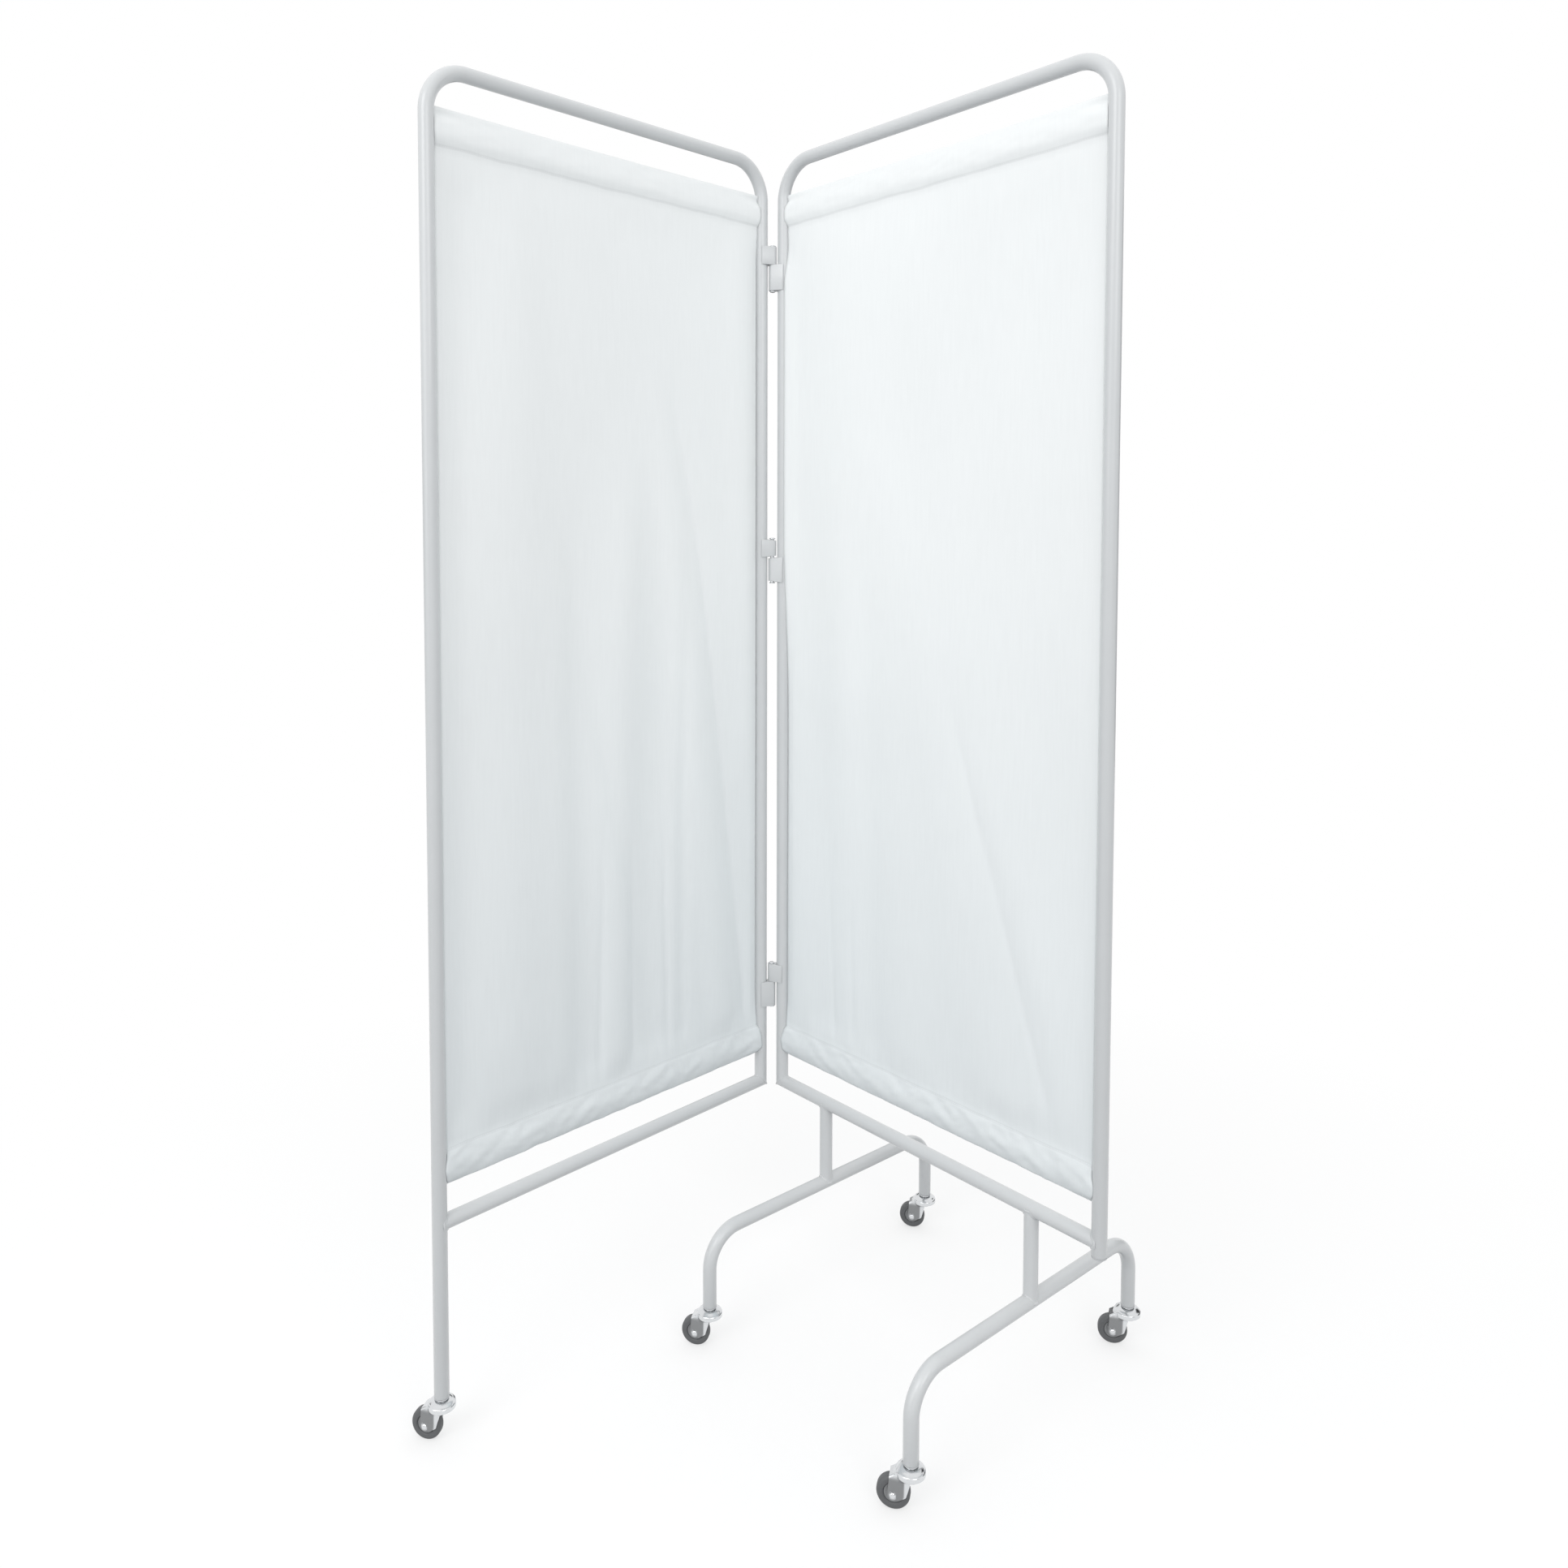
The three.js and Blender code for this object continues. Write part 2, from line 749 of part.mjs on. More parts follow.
function addCaster(parent, name, x, y) {
  const caster = new THREE.Group();
  caster.position.set(x, y, 0);
  caster.rotation.z = casterAngle - parent.rotation.z;
  parent.add(caster);
  piece(caster, `${name}_caster_socket`, socketGeometry(), socketPlastic);
  piece(caster, `${name}_caster_stem`, stemGeometry(), zincPlate);
  piece(caster, `${name}_caster_fork`, forkGeometry(), zincPlate);
  piece(caster, `${name}_caster_axle`, axleGeometry(), zincPlate);
  piece(caster, `${name}_wheel_hub`, hubGeometry(), hubPlastic);
  piece(caster, `${name}_wheel_tyre`, tyreGeometry(), tyreRubber);
}

// Assembly

const screen = new THREE.Group();
const bracedPanel = new THREE.Group();
const wingPanel = new THREE.Group();
wingPanel.rotation.z = -openAngle;
screen.add(bracedPanel, wingPanel);

const bracedFront = -1;
const wingFront = 1;
const bracedPlane = planeAt(bracedFront);
const bracedLegEnd = railHeight - tubeRadius - legOverrun;
const footPlaces = { outer: outerLegAt - footInset, inner: innerLegAt + footInset };

piece(bracedPanel, 'braced_frame_tube', frameTube(bracedFront, bracedLegEnd), whitePowderCoat);
piece(bracedPanel, 'braced_bottom_rail', bottomRail(bracedFront), whitePowderCoat);
piece(wingPanel, 'wing_frame_tube', frameTube(wingFront, casterHeight), whitePowderCoat);
piece(wingPanel, 'wing_bottom_rail', bottomRail(wingFront), whitePowderCoat);

const plug = piece(bracedPanel, 'braced_leg_plug', legPlug(), socketPlastic);
plug.position.set(outerLegAt, bracedPlane, bracedLegEnd);

for (const [name, x] of Object.entries(footPlaces)) {
  piece(bracedPanel, `${name}_foot_tube`, footTube(x, bracedPlane), whitePowderCoat);
  piece(bracedPanel, `${name}_foot_post`, footPost(x, bracedPlane), whitePowderCoat);
  addCaster(bracedPanel, `${name}_front`, x, bracedPlane - footReach);
  addCaster(bracedPanel, `${name}_rear`, x, bracedPlane + footReach);
}
addCaster(wingPanel, 'wing', outerLegAt, planeAt(wingFront));

// The wing's lug is on top at the two upper hinges and below at the bottom one, so that neither
// frame can be lifted off the other
const hingePlaces = {
  top: topRailHeight - topHingeDrop,
  middle: topRailHeight - middleHingeDrop,
  bottom: railHeight + bottomHingeRise,
};
for (const [name, middle] of Object.entries(hingePlaces)) {
  const wingOnTop = name !== 'bottom';
  const shortLugHeight = hingeHeight - longLugHeight - runningGap;
  const lowerHeight = longLugHeight;
  const upperHeight = shortLugHeight;
  const lowerAt = middle - hingeHeight / 2;
  const upperAt = lowerAt + lowerHeight + runningGap;
  const wingHeight = wingOnTop ? upperHeight : lowerHeight;
  const bracedHeight = wingOnTop ? lowerHeight : upperHeight;
  const wingLug = piece(
    wingPanel, `hinge_${name}_wing_lug`, lugGeometry(wingFront, wingHeight), whitePowderCoat);
  const bracedLug = piece(
    bracedPanel, `hinge_${name}_braced_lug`, lugGeometry(bracedFront, bracedHeight), whitePowderCoat);
  const pin = piece(bracedPanel, `hinge_${name}_pin`, pinGeometry(), zincPlate);
  wingLug.position.z = wingOnTop ? upperAt : lowerAt;
  bracedLug.position.z = wingOnTop ? lowerAt : upperAt;
  pin.position.z = middle;
}

const curtains = [
  { panel: bracedPanel, name: 'braced', front: bracedFront, fold: bracedFold },
  { panel: wingPanel, name: 'wing', front: wingFront, fold: wingFold },
];
for (const { panel, name, front, fold } of curtains) {
  piece(panel, `${name}_curtain`, curtainGeometry(front, fold), curtainCloth);
  piece(panel, `${name}_header_rod`, curtainRod(front, headerRodHeight), steelRod);
  piece(panel, `${name}_hem_rod`, curtainRod(front, hemRodHeight), steelRod);
}

// The origin goes under the middle of the whole screen
const reach = new THREE.Box3().setFromObject(screen, true);
const middle = reach.getCenter(new THREE.Vector3());
screen.position.set(-middle.x, -middle.y, 0);

export default screen;
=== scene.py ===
"""Ward privacy screen on wheels: the looks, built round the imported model. Metres, +Z up."""

import math

import bmesh
import bpy
from mathutils import Matrix, Vector, noise


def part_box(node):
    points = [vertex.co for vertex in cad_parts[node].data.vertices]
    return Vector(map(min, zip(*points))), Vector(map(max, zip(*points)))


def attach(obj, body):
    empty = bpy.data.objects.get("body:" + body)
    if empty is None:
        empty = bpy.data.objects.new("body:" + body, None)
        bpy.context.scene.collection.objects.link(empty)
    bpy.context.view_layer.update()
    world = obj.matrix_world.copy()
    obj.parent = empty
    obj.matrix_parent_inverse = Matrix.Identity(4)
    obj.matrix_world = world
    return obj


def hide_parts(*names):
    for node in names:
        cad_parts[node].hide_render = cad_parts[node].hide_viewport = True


bl_info = {
    "name": "Ward privacy screen",
    "version": (1, 0, 0),
    "blender": (4, 5, 0),
    "location": "3D View > Sidebar > Ward screen",
    "description": "Builds the tubes, hinges, casters and curtains of a folding ward screen",
    "category": "Object",
}

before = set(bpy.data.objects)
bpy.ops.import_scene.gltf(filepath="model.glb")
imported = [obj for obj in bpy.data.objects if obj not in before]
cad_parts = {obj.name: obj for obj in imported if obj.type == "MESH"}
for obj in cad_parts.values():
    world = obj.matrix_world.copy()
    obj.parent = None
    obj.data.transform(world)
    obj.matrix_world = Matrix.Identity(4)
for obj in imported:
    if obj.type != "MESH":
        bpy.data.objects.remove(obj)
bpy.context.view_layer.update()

MM = 0.001

# Frames and feet, as the solids have them
TUBE_RADIUS = 9.5 * MM
PANEL_SPAN = 572 * MM
OPEN_ANGLE = math.radians(85.5)
PIN_PAST_LEG = 11.5 * MM
PIN_BEFORE_LEG = 12.5 * MM
INNER_LEG = PIN_PAST_LEG
OUTER_LEG = PIN_PAST_LEG + PANEL_SPAN
TOP_RAIL = 1695.5 * MM
BOTTOM_RAIL = 279 * MM
FRAME_BEND = 55 * MM
BRACED_LEG_END = 263.5 * MM
FOOT_INSET = 99 * MM
FOOT_REACH = 226 * MM
FOOT_BEAM = 157.5 * MM
FOOT_BEND = 48 * MM
CASTER_TOP = 58 * MM
TUBE_END_SOFT = 0.4 * MM
RAIL_SHORT_OF_LEG = 0.5 * MM
WELD_SIDES = 10
WELD_STEPS = 72
WELD_RIPPLES = 34
WELD_RIPPLE_SHARE = 0.12
WELD_STAND_OFF = 0.6 * MM
CORNER_WELD_SUNK = 0.9 * MM
TUBE_BORE = 8 * MM
PLUG_TOP = 14 * MM
PLUG_SEAT = -0.3 * MM
PLUG_FLANGE = 2 * MM
PLUG = [
    (0, PLUG_SEAT - PLUG_FLANGE),
    (TUBE_RADIUS, PLUG_SEAT - PLUG_FLANGE),
    (TUBE_RADIUS, PLUG_SEAT),
    (TUBE_BORE, PLUG_SEAT),
    (TUBE_BORE, PLUG_TOP),
    (0, PLUG_TOP),
]

# Hinges. DRAWN_IN is how much shorter a lug's barrel is than its arm, at either end
BARREL_RADIUS = 6 * MM
LUG_GAP = 0.3 * MM
LUG_STRAP = 1.6 * MM
LUG_SOFT = 0.35 * MM
DRAWN_IN = {"hinge_top": 0.0, "hinge_middle": 2 * MM, "hinge_bottom": 0.0}
RIVET_RADIUS = 3 * MM
RIVET_HEAD = 4.8 * MM
RIVET_HEAD_DEPTH = 2 * MM

# Curtains. A curtain is one strip of cloth, cut flat and sewn back on itself at both ends. Its
# profile runs from the seam behind the header rod, over the heading, down the front and round the
# hem rod. Each point is (how far in front of the frame's plane, height).
CLOTH_WIDTH = PANEL_SPAN - 2 * TUBE_RADIUS - 2.4 * MM
SEAM = 0.5 * MM
HEADING_TOP = 1648.5 * MM
POCKET_END = 1601.5 * MM
HEM_SEAM = 371 * MM
HEM_BOTTOM = 326 * MM
HEADER_FRONT = [
    (2.7 * MM, 1640 * MM),
    (4.5 * MM, 1629 * MM),
    (5.0 * MM, 1620 * MM),
    (4.4 * MM, 1612 * MM),
    (2.4 * MM, 1606 * MM),
    (SEAM, POCKET_END),
]
HEADING = [(-1.4 * MM, 1647 * MM), (0, HEADING_TOP), (1.4 * MM, 1647 * MM)]
HEM_FRONT = [
    (SEAM, HEM_SEAM),
    (2.7 * MM, 362 * MM),
    (5.0 * MM, 351 * MM),
    (5.3 * MM, 343 * MM),
    (4.3 * MM, 335 * MM),
    (2.2 * MM, 329 * MM),
]
# Painted shade: the colour that the cloth darkens and cools to towards the hem
LOW_PAINTED_SHADE = (0.935, 0.955, 0.966)
LONG_RUN = 100 * MM
LONG_STEP = 9 * MM
SHORT_STEP = 2.6 * MM
STITCH_INSET = 1.5 * MM
FOLD_LIMIT = 9.5 * MM
FOLD_ABOVE, FOLD_BELOW, FOLD_FADE = 0.16, 0.12, 0.26
SLOW_SWELL = 0.3
SEAM_PUCKER = 1.1 * MM
INNER_EDGE_BACK = 3 * MM
INNER_EDGE_BULGE = 8.5 * MM
HEADER_END_PUFF = 1.3 * MM
HEADER_DENT = 2.6 * MM
HEADER_DENT_HEIGHT = 1640 * MM
HEADER_CREASE = 0.7 * MM
HEM_END_PUFF = 3.2 * MM
HEM_CREASE = 1.5 * MM
SEAM_STRAY = 1.5 * MM
HEADING_SAG = 1.2 * MM
LEG_GAP = 0.3 * MM
LEAST_CLEARANCE = 2 * MM

# Casters, drawn with the stem on Z and the wheel trailing towards +X
WHEEL_RADIUS = 20 * MM
AXLE_HEIGHT = WHEEL_RADIUS
CASTER_TRAIL = 20 * MM
CASTER_ANGLE = math.radians(215)
TREAD_HALF_WIDTH = 6.5 * MM
FORK_SHEET = 1.6 * MM
FORK_HALF_WIDTH = 9.3 * MM
FORK_EYE = 6 * MM
CROWN_RADIUS = 17.5 * MM
CROWN_TOP = 54.4 * MM
CROWN_FLAT = 8 * MM
CROWN_RUN = 9.5 * MM
CROWN_FALL = 5.4 * MM
HOOD_END = 24.4 * MM
HOOD_HEIGHT = 42.6 * MM
HOOD_SLOPE = 0.6
SHOULDER = 2 * MM
SKIRT_END = 44.8 * MM
STEM_HOLE = 4.4 * MM

# A leg of the fork: where its front edge lies at the axle, and how far that leans over a run
# upwards. Then the ranges over which the leg flares, its front edge curls and its eye stays bright,
# a painted highlight
LEG_FRONT = 4.3 * MM
LEG_LEAN = 5.9 * MM
LEG_RUN = 20 * MM
FLARE = (37 * MM, 45 * MM)
CURL = (27 * MM, 33 * MM)
EYE = (3.6 * MM, 4.6 * MM)

# Profiles of a caster's turned pieces, as radius and height. The first three are lower halves
TYRE = [
    (11.2 * MM, -TREAD_HALF_WIDTH + 1.6 * MM),
    (12.4 * MM, -TREAD_HALF_WIDTH),
    (17.4 * MM, -TREAD_HALF_WIDTH),
    (WHEEL_RADIUS, -TREAD_HALF_WIDTH + 2.6 * MM),
]
HUB_FACE = TREAD_HALF_WIDTH - 1.4 * MM
HUB = [
    (2.8 * MM, -7.1 * MM),
    (5.2 * MM, -7.1 * MM),
    (6.6 * MM, -4 * MM),
    (9.4 * MM, -HUB_FACE + 0.4 * MM),
    (11 * MM, -HUB_FACE),
]
AXLE_SEAT = FORK_HALF_WIDTH + 0.3 * MM
AXLE_END = AXLE_SEAT + 1.5 * MM
AXLE = [(0, -AXLE_END), (2.4 * MM, -AXLE_END), (4 * MM, -AXLE_SEAT), (2.5 * MM, -AXLE_SEAT)]
SOCKET_END = 56.2 * MM
SOCKET = [
    (4.3 * MM, SOCKET_END),
    (TUBE_RADIUS, SOCKET_END),
    (TUBE_RADIUS, SOCKET_END + 1.5 * MM),
    (TUBE_BORE, SOCKET_END + 1.5 * MM),
    (TUBE_BORE, SOCKET_END + 27 * MM),
    (4.3 * MM, SOCKET_END + 27 * MM),
]
RACE = 54.7 * MM
STEM = [
    (0, 51 * MM),
    (5.2 * MM, 51 * MM),
    (6.2 * MM, 52.5 * MM),
    (4 * MM, 52.5 * MM),
    (4 * MM, RACE),
    (8.5 * MM, RACE),
    (8.5 * MM, RACE + 1.2 * MM),
    (4 * MM, RACE + 1.2 * MM),
    (4 * MM, 80 * MM),
    (0, 80 * MM),
]

# Rows and columns of the fork's sheet: over the top, round the shoulder and down the wall
FORK_COLUMNS = 84
FORK_OVER, FORK_ROUND, FORK_DOWN = 9, 4, 14
FORK_DOWN_POWER = 1.3

# Distances that count as none
MERGE = 0.00001
SAME_PLACE = 0.0000001

hinge_low, hinge_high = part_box("hinge_middle_pin")
PIN_PLACE = (hinge_low + hinge_high) / 2
PIN_PLACE.z = 0
SPACES = {
    "braced": Matrix.Translation(PIN_PLACE),
    "wing": Matrix.Translation(PIN_PLACE) @ Matrix.Rotation(-OPEN_ANGLE, 4, "Z"),
}
FRONTS = {"braced": -1, "wing": 1}


# Settings


class TubeSettings(bpy.types.PropertyGroup):
    sides: bpy.props.IntProperty(
        name="Tube sides", description="Faces round a tube", default=40, min=12, max=96
    )
    bend_steps: bpy.props.IntProperty(
        name="Bend steps", description="Rings in a quarter bend", default=20, min=4, max=64
    )
    weld_radius: bpy.props.FloatProperty(
        name="Weld bead",
        description="Radius of the bead where two tubes are welded",
        default=1.5 * MM,
        unit="LENGTH",
    )
    coat: bpy.props.FloatVectorProperty(
        name="Powder coat",
        description="Colour of the coated tubes and lugs",
        default=(0.615, 0.628, 0.636),
        subtype="COLOR",
        min=0,
        max=1,
    )


class CurtainSettings(bpy.types.PropertyGroup):
    columns: bpy.props.IntProperty(
        name="Columns", description="Faces across a curtain", default=144, min=20, max=200
    )
    fold_depth: bpy.props.FloatProperty(
        name="Fold depth",
        description="Depth of the deepest fold of a curtain",
        default=10 * MM,
        unit="LENGTH",
    )
    thickness: bpy.props.FloatProperty(
        name="Cloth", description="Thickness of the cloth", default=0.6 * MM, unit="LENGTH"
    )
    colour: bpy.props.FloatVectorProperty(
        name="Cloth colour",
        description="Colour of the curtains",
        default=(0.868, 0.885, 0.887),
        subtype="COLOR",
        min=0,
        max=1,
    )


class CasterSettings(bpy.types.PropertyGroup):
    sides: bpy.props.IntProperty(
        name="Round steps", description="Steps round a wheel", default=56, min=16, max=128
    )
    rubber: bpy.props.FloatVectorProperty(
        name="Tyre",
        description="Colour of the tyres",
        default=(0.115, 0.118, 0.122),
        subtype="COLOR",
        min=0,
        max=1,
    )
    hub: bpy.props.FloatVectorProperty(
        name="Hub",
        description="Colour of the wheel hubs",
        default=(0.27, 0.275, 0.28),
        subtype="COLOR",
        min=0,
        max=1,
    )
    zinc: bpy.props.FloatVectorProperty(
        name="Zinc plate",
        description="Colour of the plated forks",
        default=(0.72, 0.735, 0.75),
        subtype="COLOR",
        min=0,
        max=1,
    )


class StudioSettings(bpy.types.PropertyGroup):
    lens: bpy.props.FloatProperty(
        name="Lens", description="Focal length of the camera", default=27.75, unit="CAMERA"
    )
    light: bpy.props.FloatProperty(
        name="Light", description="Strength of all lamps together", default=1.0, min=0
    )


SETTINGS = {
    "screen_tubes": TubeSettings,
    "screen_curtains": CurtainSettings,
    "screen_casters": CasterSettings,
    "screen_studio": StudioSettings,
}


# Shader nodes


def feed(tree, slots, values):
    """Links sockets to a node's inputs, or sets the inputs to values, by name or number."""
    for name, value in dict(values).items():
        if isinstance(value, bpy.types.NodeSocket):
            tree.links.new(value, slots[name])
        else:
            slots[name].default_value = value


def node(tree, kind, inputs=(), **options):
    """A shader node with its options set and its inputs fed."""
    made = tree.nodes.new(f"ShaderNode{kind}")
    for name, value in options.items():
        setattr(made, name, value)
    feed(tree, made.inputs, inputs)
    return made


def maths(tree, operation, *values):
    return node(tree, "Math", enumerate(values), operation=operation).outputs[0]


def plus(tree, *values):
    return maths(tree, "ADD", *values)


def minus(tree, *values):
    return maths(tree, "SUBTRACT", *values)


def times(tree, *values):
    return maths(tree, "MULTIPLY", *values)


def ramp(tree, value, near, far, start=1, end=0):
    """One number up to a near distance, and another from a far one on."""
    inputs = {"Value": value, "From Min": near, "From Max": far, "To Min": start, "To Max": end}
    return node(tree, "MapRange", inputs).outputs[0]


def draw_mottling(tree, given):
    """Slow variation of a surface: a colour factor and a roughness offset."""
    scale = maths(tree, "DIVIDE", 1.0, given["Patch size"])
    broad = {"Vector": given["Vector"], "Scale": scale, "Detail": 4, "Roughness": 0.6}
    broad = node(tree, "TexNoise", broad).outputs["Fac"]
    offset = times(tree, minus(tree, broad, 0.5), given["Amount"])
    return {"Shade": plus(tree, offset, 1.0), "Offset": offset}


def draw_grain(tree, given):
    """A fine skin such as the orange peel of a powder coat, as a height."""
    scale = maths(tree, "DIVIDE", 1.0, given["Grain size"])
    cells = {"Vector": given["Vector"], "Scale": scale, "Detail": 2}
    return {"Height": node(tree, "TexNoise", cells).outputs["Fac"]}


def draw_weave(tree, given):
    """A plain weave on a cloth's own map, whose unit is a metre: a height and a thread shade."""
    where = node(tree, "SeparateXYZ", {0: given["Vector"]}).outputs
    turns = maths(tree, "DIVIDE", math.pi, given["Thread spacing"])
    waves = [maths(tree, "SINE", times(tree, where[axis], turns)) for axis in "XY"]
    over = times(tree, times(tree, *waves), 0.5)
    threads = plus(tree, *(maths(tree, "ABSOLUTE", wave) for wave in waves))
    height = plus(tree, times(tree, threads, 0.5), over)
    stretched = node(tree, "Mapping", {"Vector": given["Vector"], "Scale": (1, 0.06, 1)})
    slub = {"Vector": stretched.outputs["Vector"], "Scale": 300, "Detail": 3}
    slub = minus(tree, node(tree, "TexNoise", slub).outputs["Fac"], 0.5)
    return {"Height": height, "Shade": plus(tree, times(tree, slub, 0.05), 1.0)}


def draw_stitching(tree, given):
    """A row of stitches along a line of a cloth's map, in the groove that it draws, with painted
    shade in that groove.
    """
    where = node(tree, "SeparateXYZ", {0: given["Vector"]}).outputs
    apart = maths(tree, "ABSOLUTE", minus(tree, where["Y"], given["Line"]))
    turns = maths(tree, "DIVIDE", math.tau, given["Stitch length"])
    wave = maths(tree, "SINE", times(tree, where["X"], turns))
    dash = maths(tree, "GREATER_THAN", wave, -0.45)
    thread = times(tree, ramp(tree, apart, 0.0002, 0.0006), dash)
    groove = ramp(tree, apart, 0.0004, 0.0026)
    height = minus(tree, times(tree, thread, 0.5), times(tree, groove, 0.6))
    # Painted shade in the seam's groove, with the thread itself a little lighter
    shade = minus(tree, 1.0, times(tree, groove, 0.09))
    return {"Height": height, "Shade": plus(tree, shade, times(tree, thread, 0.08))}


# What draws each shared group, its inputs with their defaults, and its outputs
GROUPS = {
    "surface mottling": (draw_mottling, {"Patch size": 0.06, "Amount": 0.05}, ["Shade", "Offset"]),
    "coat grain": (draw_grain, {"Grain size": 0.0012}, ["Height"]),
    "plain weave": (draw_weave, {"Thread spacing": 0.0007}, ["Height", "Shade"]),
    "seam stitching": (draw_stitching, {"Line": 0.0, "Stitch length": 0.0032}, ["Height", "Shade"]),
}


def placed_group(tree, name, inputs):
    """The outputs of a shared group, which is drawn the first time that a material needs it."""
    group = bpy.data.node_groups.get(name)
    if group is None:
        group = bpy.data.node_groups.new(name, "ShaderNodeTree")
        draw, defaults, results = GROUPS[name]
        sockets = [("Vector", "INPUT", "NodeSocketVector")]
        sockets += [(label, "INPUT", "NodeSocketFloat") for label in defaults]
        sockets += [(label, "OUTPUT", "NodeSocketFloat") for label in results]
        for label, way, kind in sockets:
            made = group.interface.new_socket(name=label, in_out=way, socket_type=kind)
            if label in defaults:
                made.default_value = defaults[label]
        given = group.nodes.new("NodeGroupInput").outputs
        feed(group, group.nodes.new("NodeGroupOutput").inputs, draw(group, given))
    return node(tree, "Group", inputs, node_tree=group).outputs


# Finishes


def new_finish(name):
    """A material with its tree and the inputs of its shader."""
    material = bpy.data.materials.new(name)
    material.use_nodes = True
    tree = material.node_tree
    return material, tree, tree.nodes["Principled BSDF"].inputs


def shaded_colour(tree, colour, shade):
    """A colour made lighter or darker by a factor."""
    return node(tree, "VectorMath", {0: colour, "Scale": shade}, operation="SCALE").outputs[0]


def bump(tree, height, distance, strength=1.0):
    values = {"Height": height, "Distance": distance, "Strength": strength}
    return node(tree, "Bump", values).outputs["Normal"]


# Colour, roughness, metal, amount of mottling, and size and depth of the grain
HARD_FINISHES = {
    "white powder coat": (lambda scene: scene.screen_tubes.coat, 0.34, 0.0, 0.05, 0.0011, 0.00004),
    "zinc plate": (lambda scene: scene.screen_casters.zinc, 0.2, 1.0, 0.12, 0.0025, 0.00003),
    "rod steel": (lambda scene: (0.62, 0.63, 0.65), 0.32, 1.0, 0.1, 0.0015, 0.00002),
    "tyre rubber": (lambda scene: scene.screen_casters.rubber, 0.52, 0.0, 0.16, 0.0007, 0.00004),
    "hub plastic": (lambda scene: scene.screen_casters.hub, 0.36, 0.0, 0.08, 0.0008, 0.00002),
    "socket plastic": (lambda scene: (0.50, 0.51, 0.52), 0.42, 0.0, 0.06, 0.0009, 0.00002),
}


def hard_finish(name):
    """A coat, plate, rubber or plastic: one colour with mottling, and a fine grain.

    Zinc plate is rougher where a piece's attribute says so, and darker there: painted shade that
    stands for dark reflections on the fork's legs.
    """
    colour_in, roughness, metallic, amount, grain_size, grain_depth = HARD_FINISHES[name]
    material, tree, shader = new_finish(name)
    where = node(tree, "TexCoord").outputs["Object"]
    mottle = {"Vector": where, "Amount": amount, "Patch size": 0.05}
    mottle = placed_group(tree, "surface mottling", mottle)
    grain = placed_group(tree, "coat grain", {"Vector": where, "Grain size": grain_size})
    colour = shaded_colour(tree, colour_in(bpy.context.scene), mottle["Shade"])
    rough = plus(tree, mottle["Offset"], roughness)
    if name == "zinc plate":
        painted_dark_and_rough = node(tree, "Attribute", attribute_name="painted_dark_and_rough").outputs["Fac"]
        # Painted shade: the zinc is darkened where the attribute says, standing for dark
        # reflections on the fork's legs
        colour = shaded_colour(tree, colour, minus(tree, 1.0, times(tree, painted_dark_and_rough, 0.62)))
        rough = plus(tree, rough, times(tree, painted_dark_and_rough, 0.22))
    normal = bump(tree, grain["Height"], grain_depth)
    values = {"Base Color": colour, "Roughness": rough, "Normal": normal, "Metallic": metallic}
    if name == "white powder coat":
        values |= {"Coat Weight": 0.5, "Coat Roughness": 0.18}
    feed(tree, shader, values)
    return material


def curtain_cloth(name):
    """Woven cloth with its rows of stitches, and painted shade that darkens it towards the hem and
    where doubled.
    """
    material, tree, shader = new_finish(name)
    where = node(tree, "TexCoord").outputs["UV"]
    weave = placed_group(tree, "plain weave", {"Vector": where})
    mottle = {"Vector": where, "Amount": 0.035, "Patch size": 0.22}
    mottle = placed_group(tree, "surface mottling", mottle)
    shade = times(tree, weave["Shade"], mottle["Shade"])
    height = times(tree, weave["Height"], 0.16)
    seams = seam_lines()
    for line in seams:
        stitches = placed_group(tree, "seam stitching", {"Vector": where, "Line": line})
        shade = times(tree, shade, stitches["Shade"])
        height = plus(tree, height, stitches["Height"])
    along, hem = node(tree, "SeparateXYZ", {0: where}).outputs["Y"], seams[1]
    # Painted shade: over the 0.75 m above the hem seam the cloth darkens and cools, and stays so on
    # the hem
    above_painted_shade = ramp(tree, along, hem - 0.75, hem + 0.01)
    low_shade_tint = {"Factor": above_painted_shade, "A": (*LOW_PAINTED_SHADE, 1), "B": (1, 1, 1, 1)}
    low_shade_tint = node(tree, "Mix", low_shade_tint, data_type="RGBA").outputs["Result"]
    # Painted shade on the doubled hem band, a little darker than the single sheet
    off_hem_lift = times(tree, ramp(tree, along, hem - 0.001, hem + 0.004), 0.04)
    shade = times(tree, shade, plus(tree, off_hem_lift, 0.96))
    colour = shaded_colour(tree, bpy.context.scene.screen_curtains.colour, shade)
    painted_shade_colour = node(tree, "VectorMath", {0: colour, 1: low_shade_tint}, operation="MULTIPLY").outputs[0]
    values = {"Base Color": painted_shade_colour, "Roughness": plus(tree, mottle["Offset"], 0.86)}
    values |= {"Normal": bump(tree, height, 0.0002, 0.8), "Specular IOR Level": 0.25}
    feed(tree, shader, values | {"Sheen Weight": 0.12, "Sheen Roughness": 0.5})
    return material


def finish_of(slot):
    """The material that a slot stands for, made the first time that it is asked for."""
    name = "hub plastic" if slot == "wheel_plastic" else slot.replace("_", " ")
    make = hard_finish if name in HARD_FINISHES else curtain_cloth
    return bpy.data.materials.get(name) or make(name)


# Modelling helpers


def turn_by(degrees, axis):
    return Matrix.Rotation(math.radians(degrees), 4, axis)


def eased(value, start, end):
    """0 before start and 1 after end, with a smooth way between them."""
    share = min(max((value - start) / (end - start), 0), 1)
    return share * share * (3 - 2 * share)


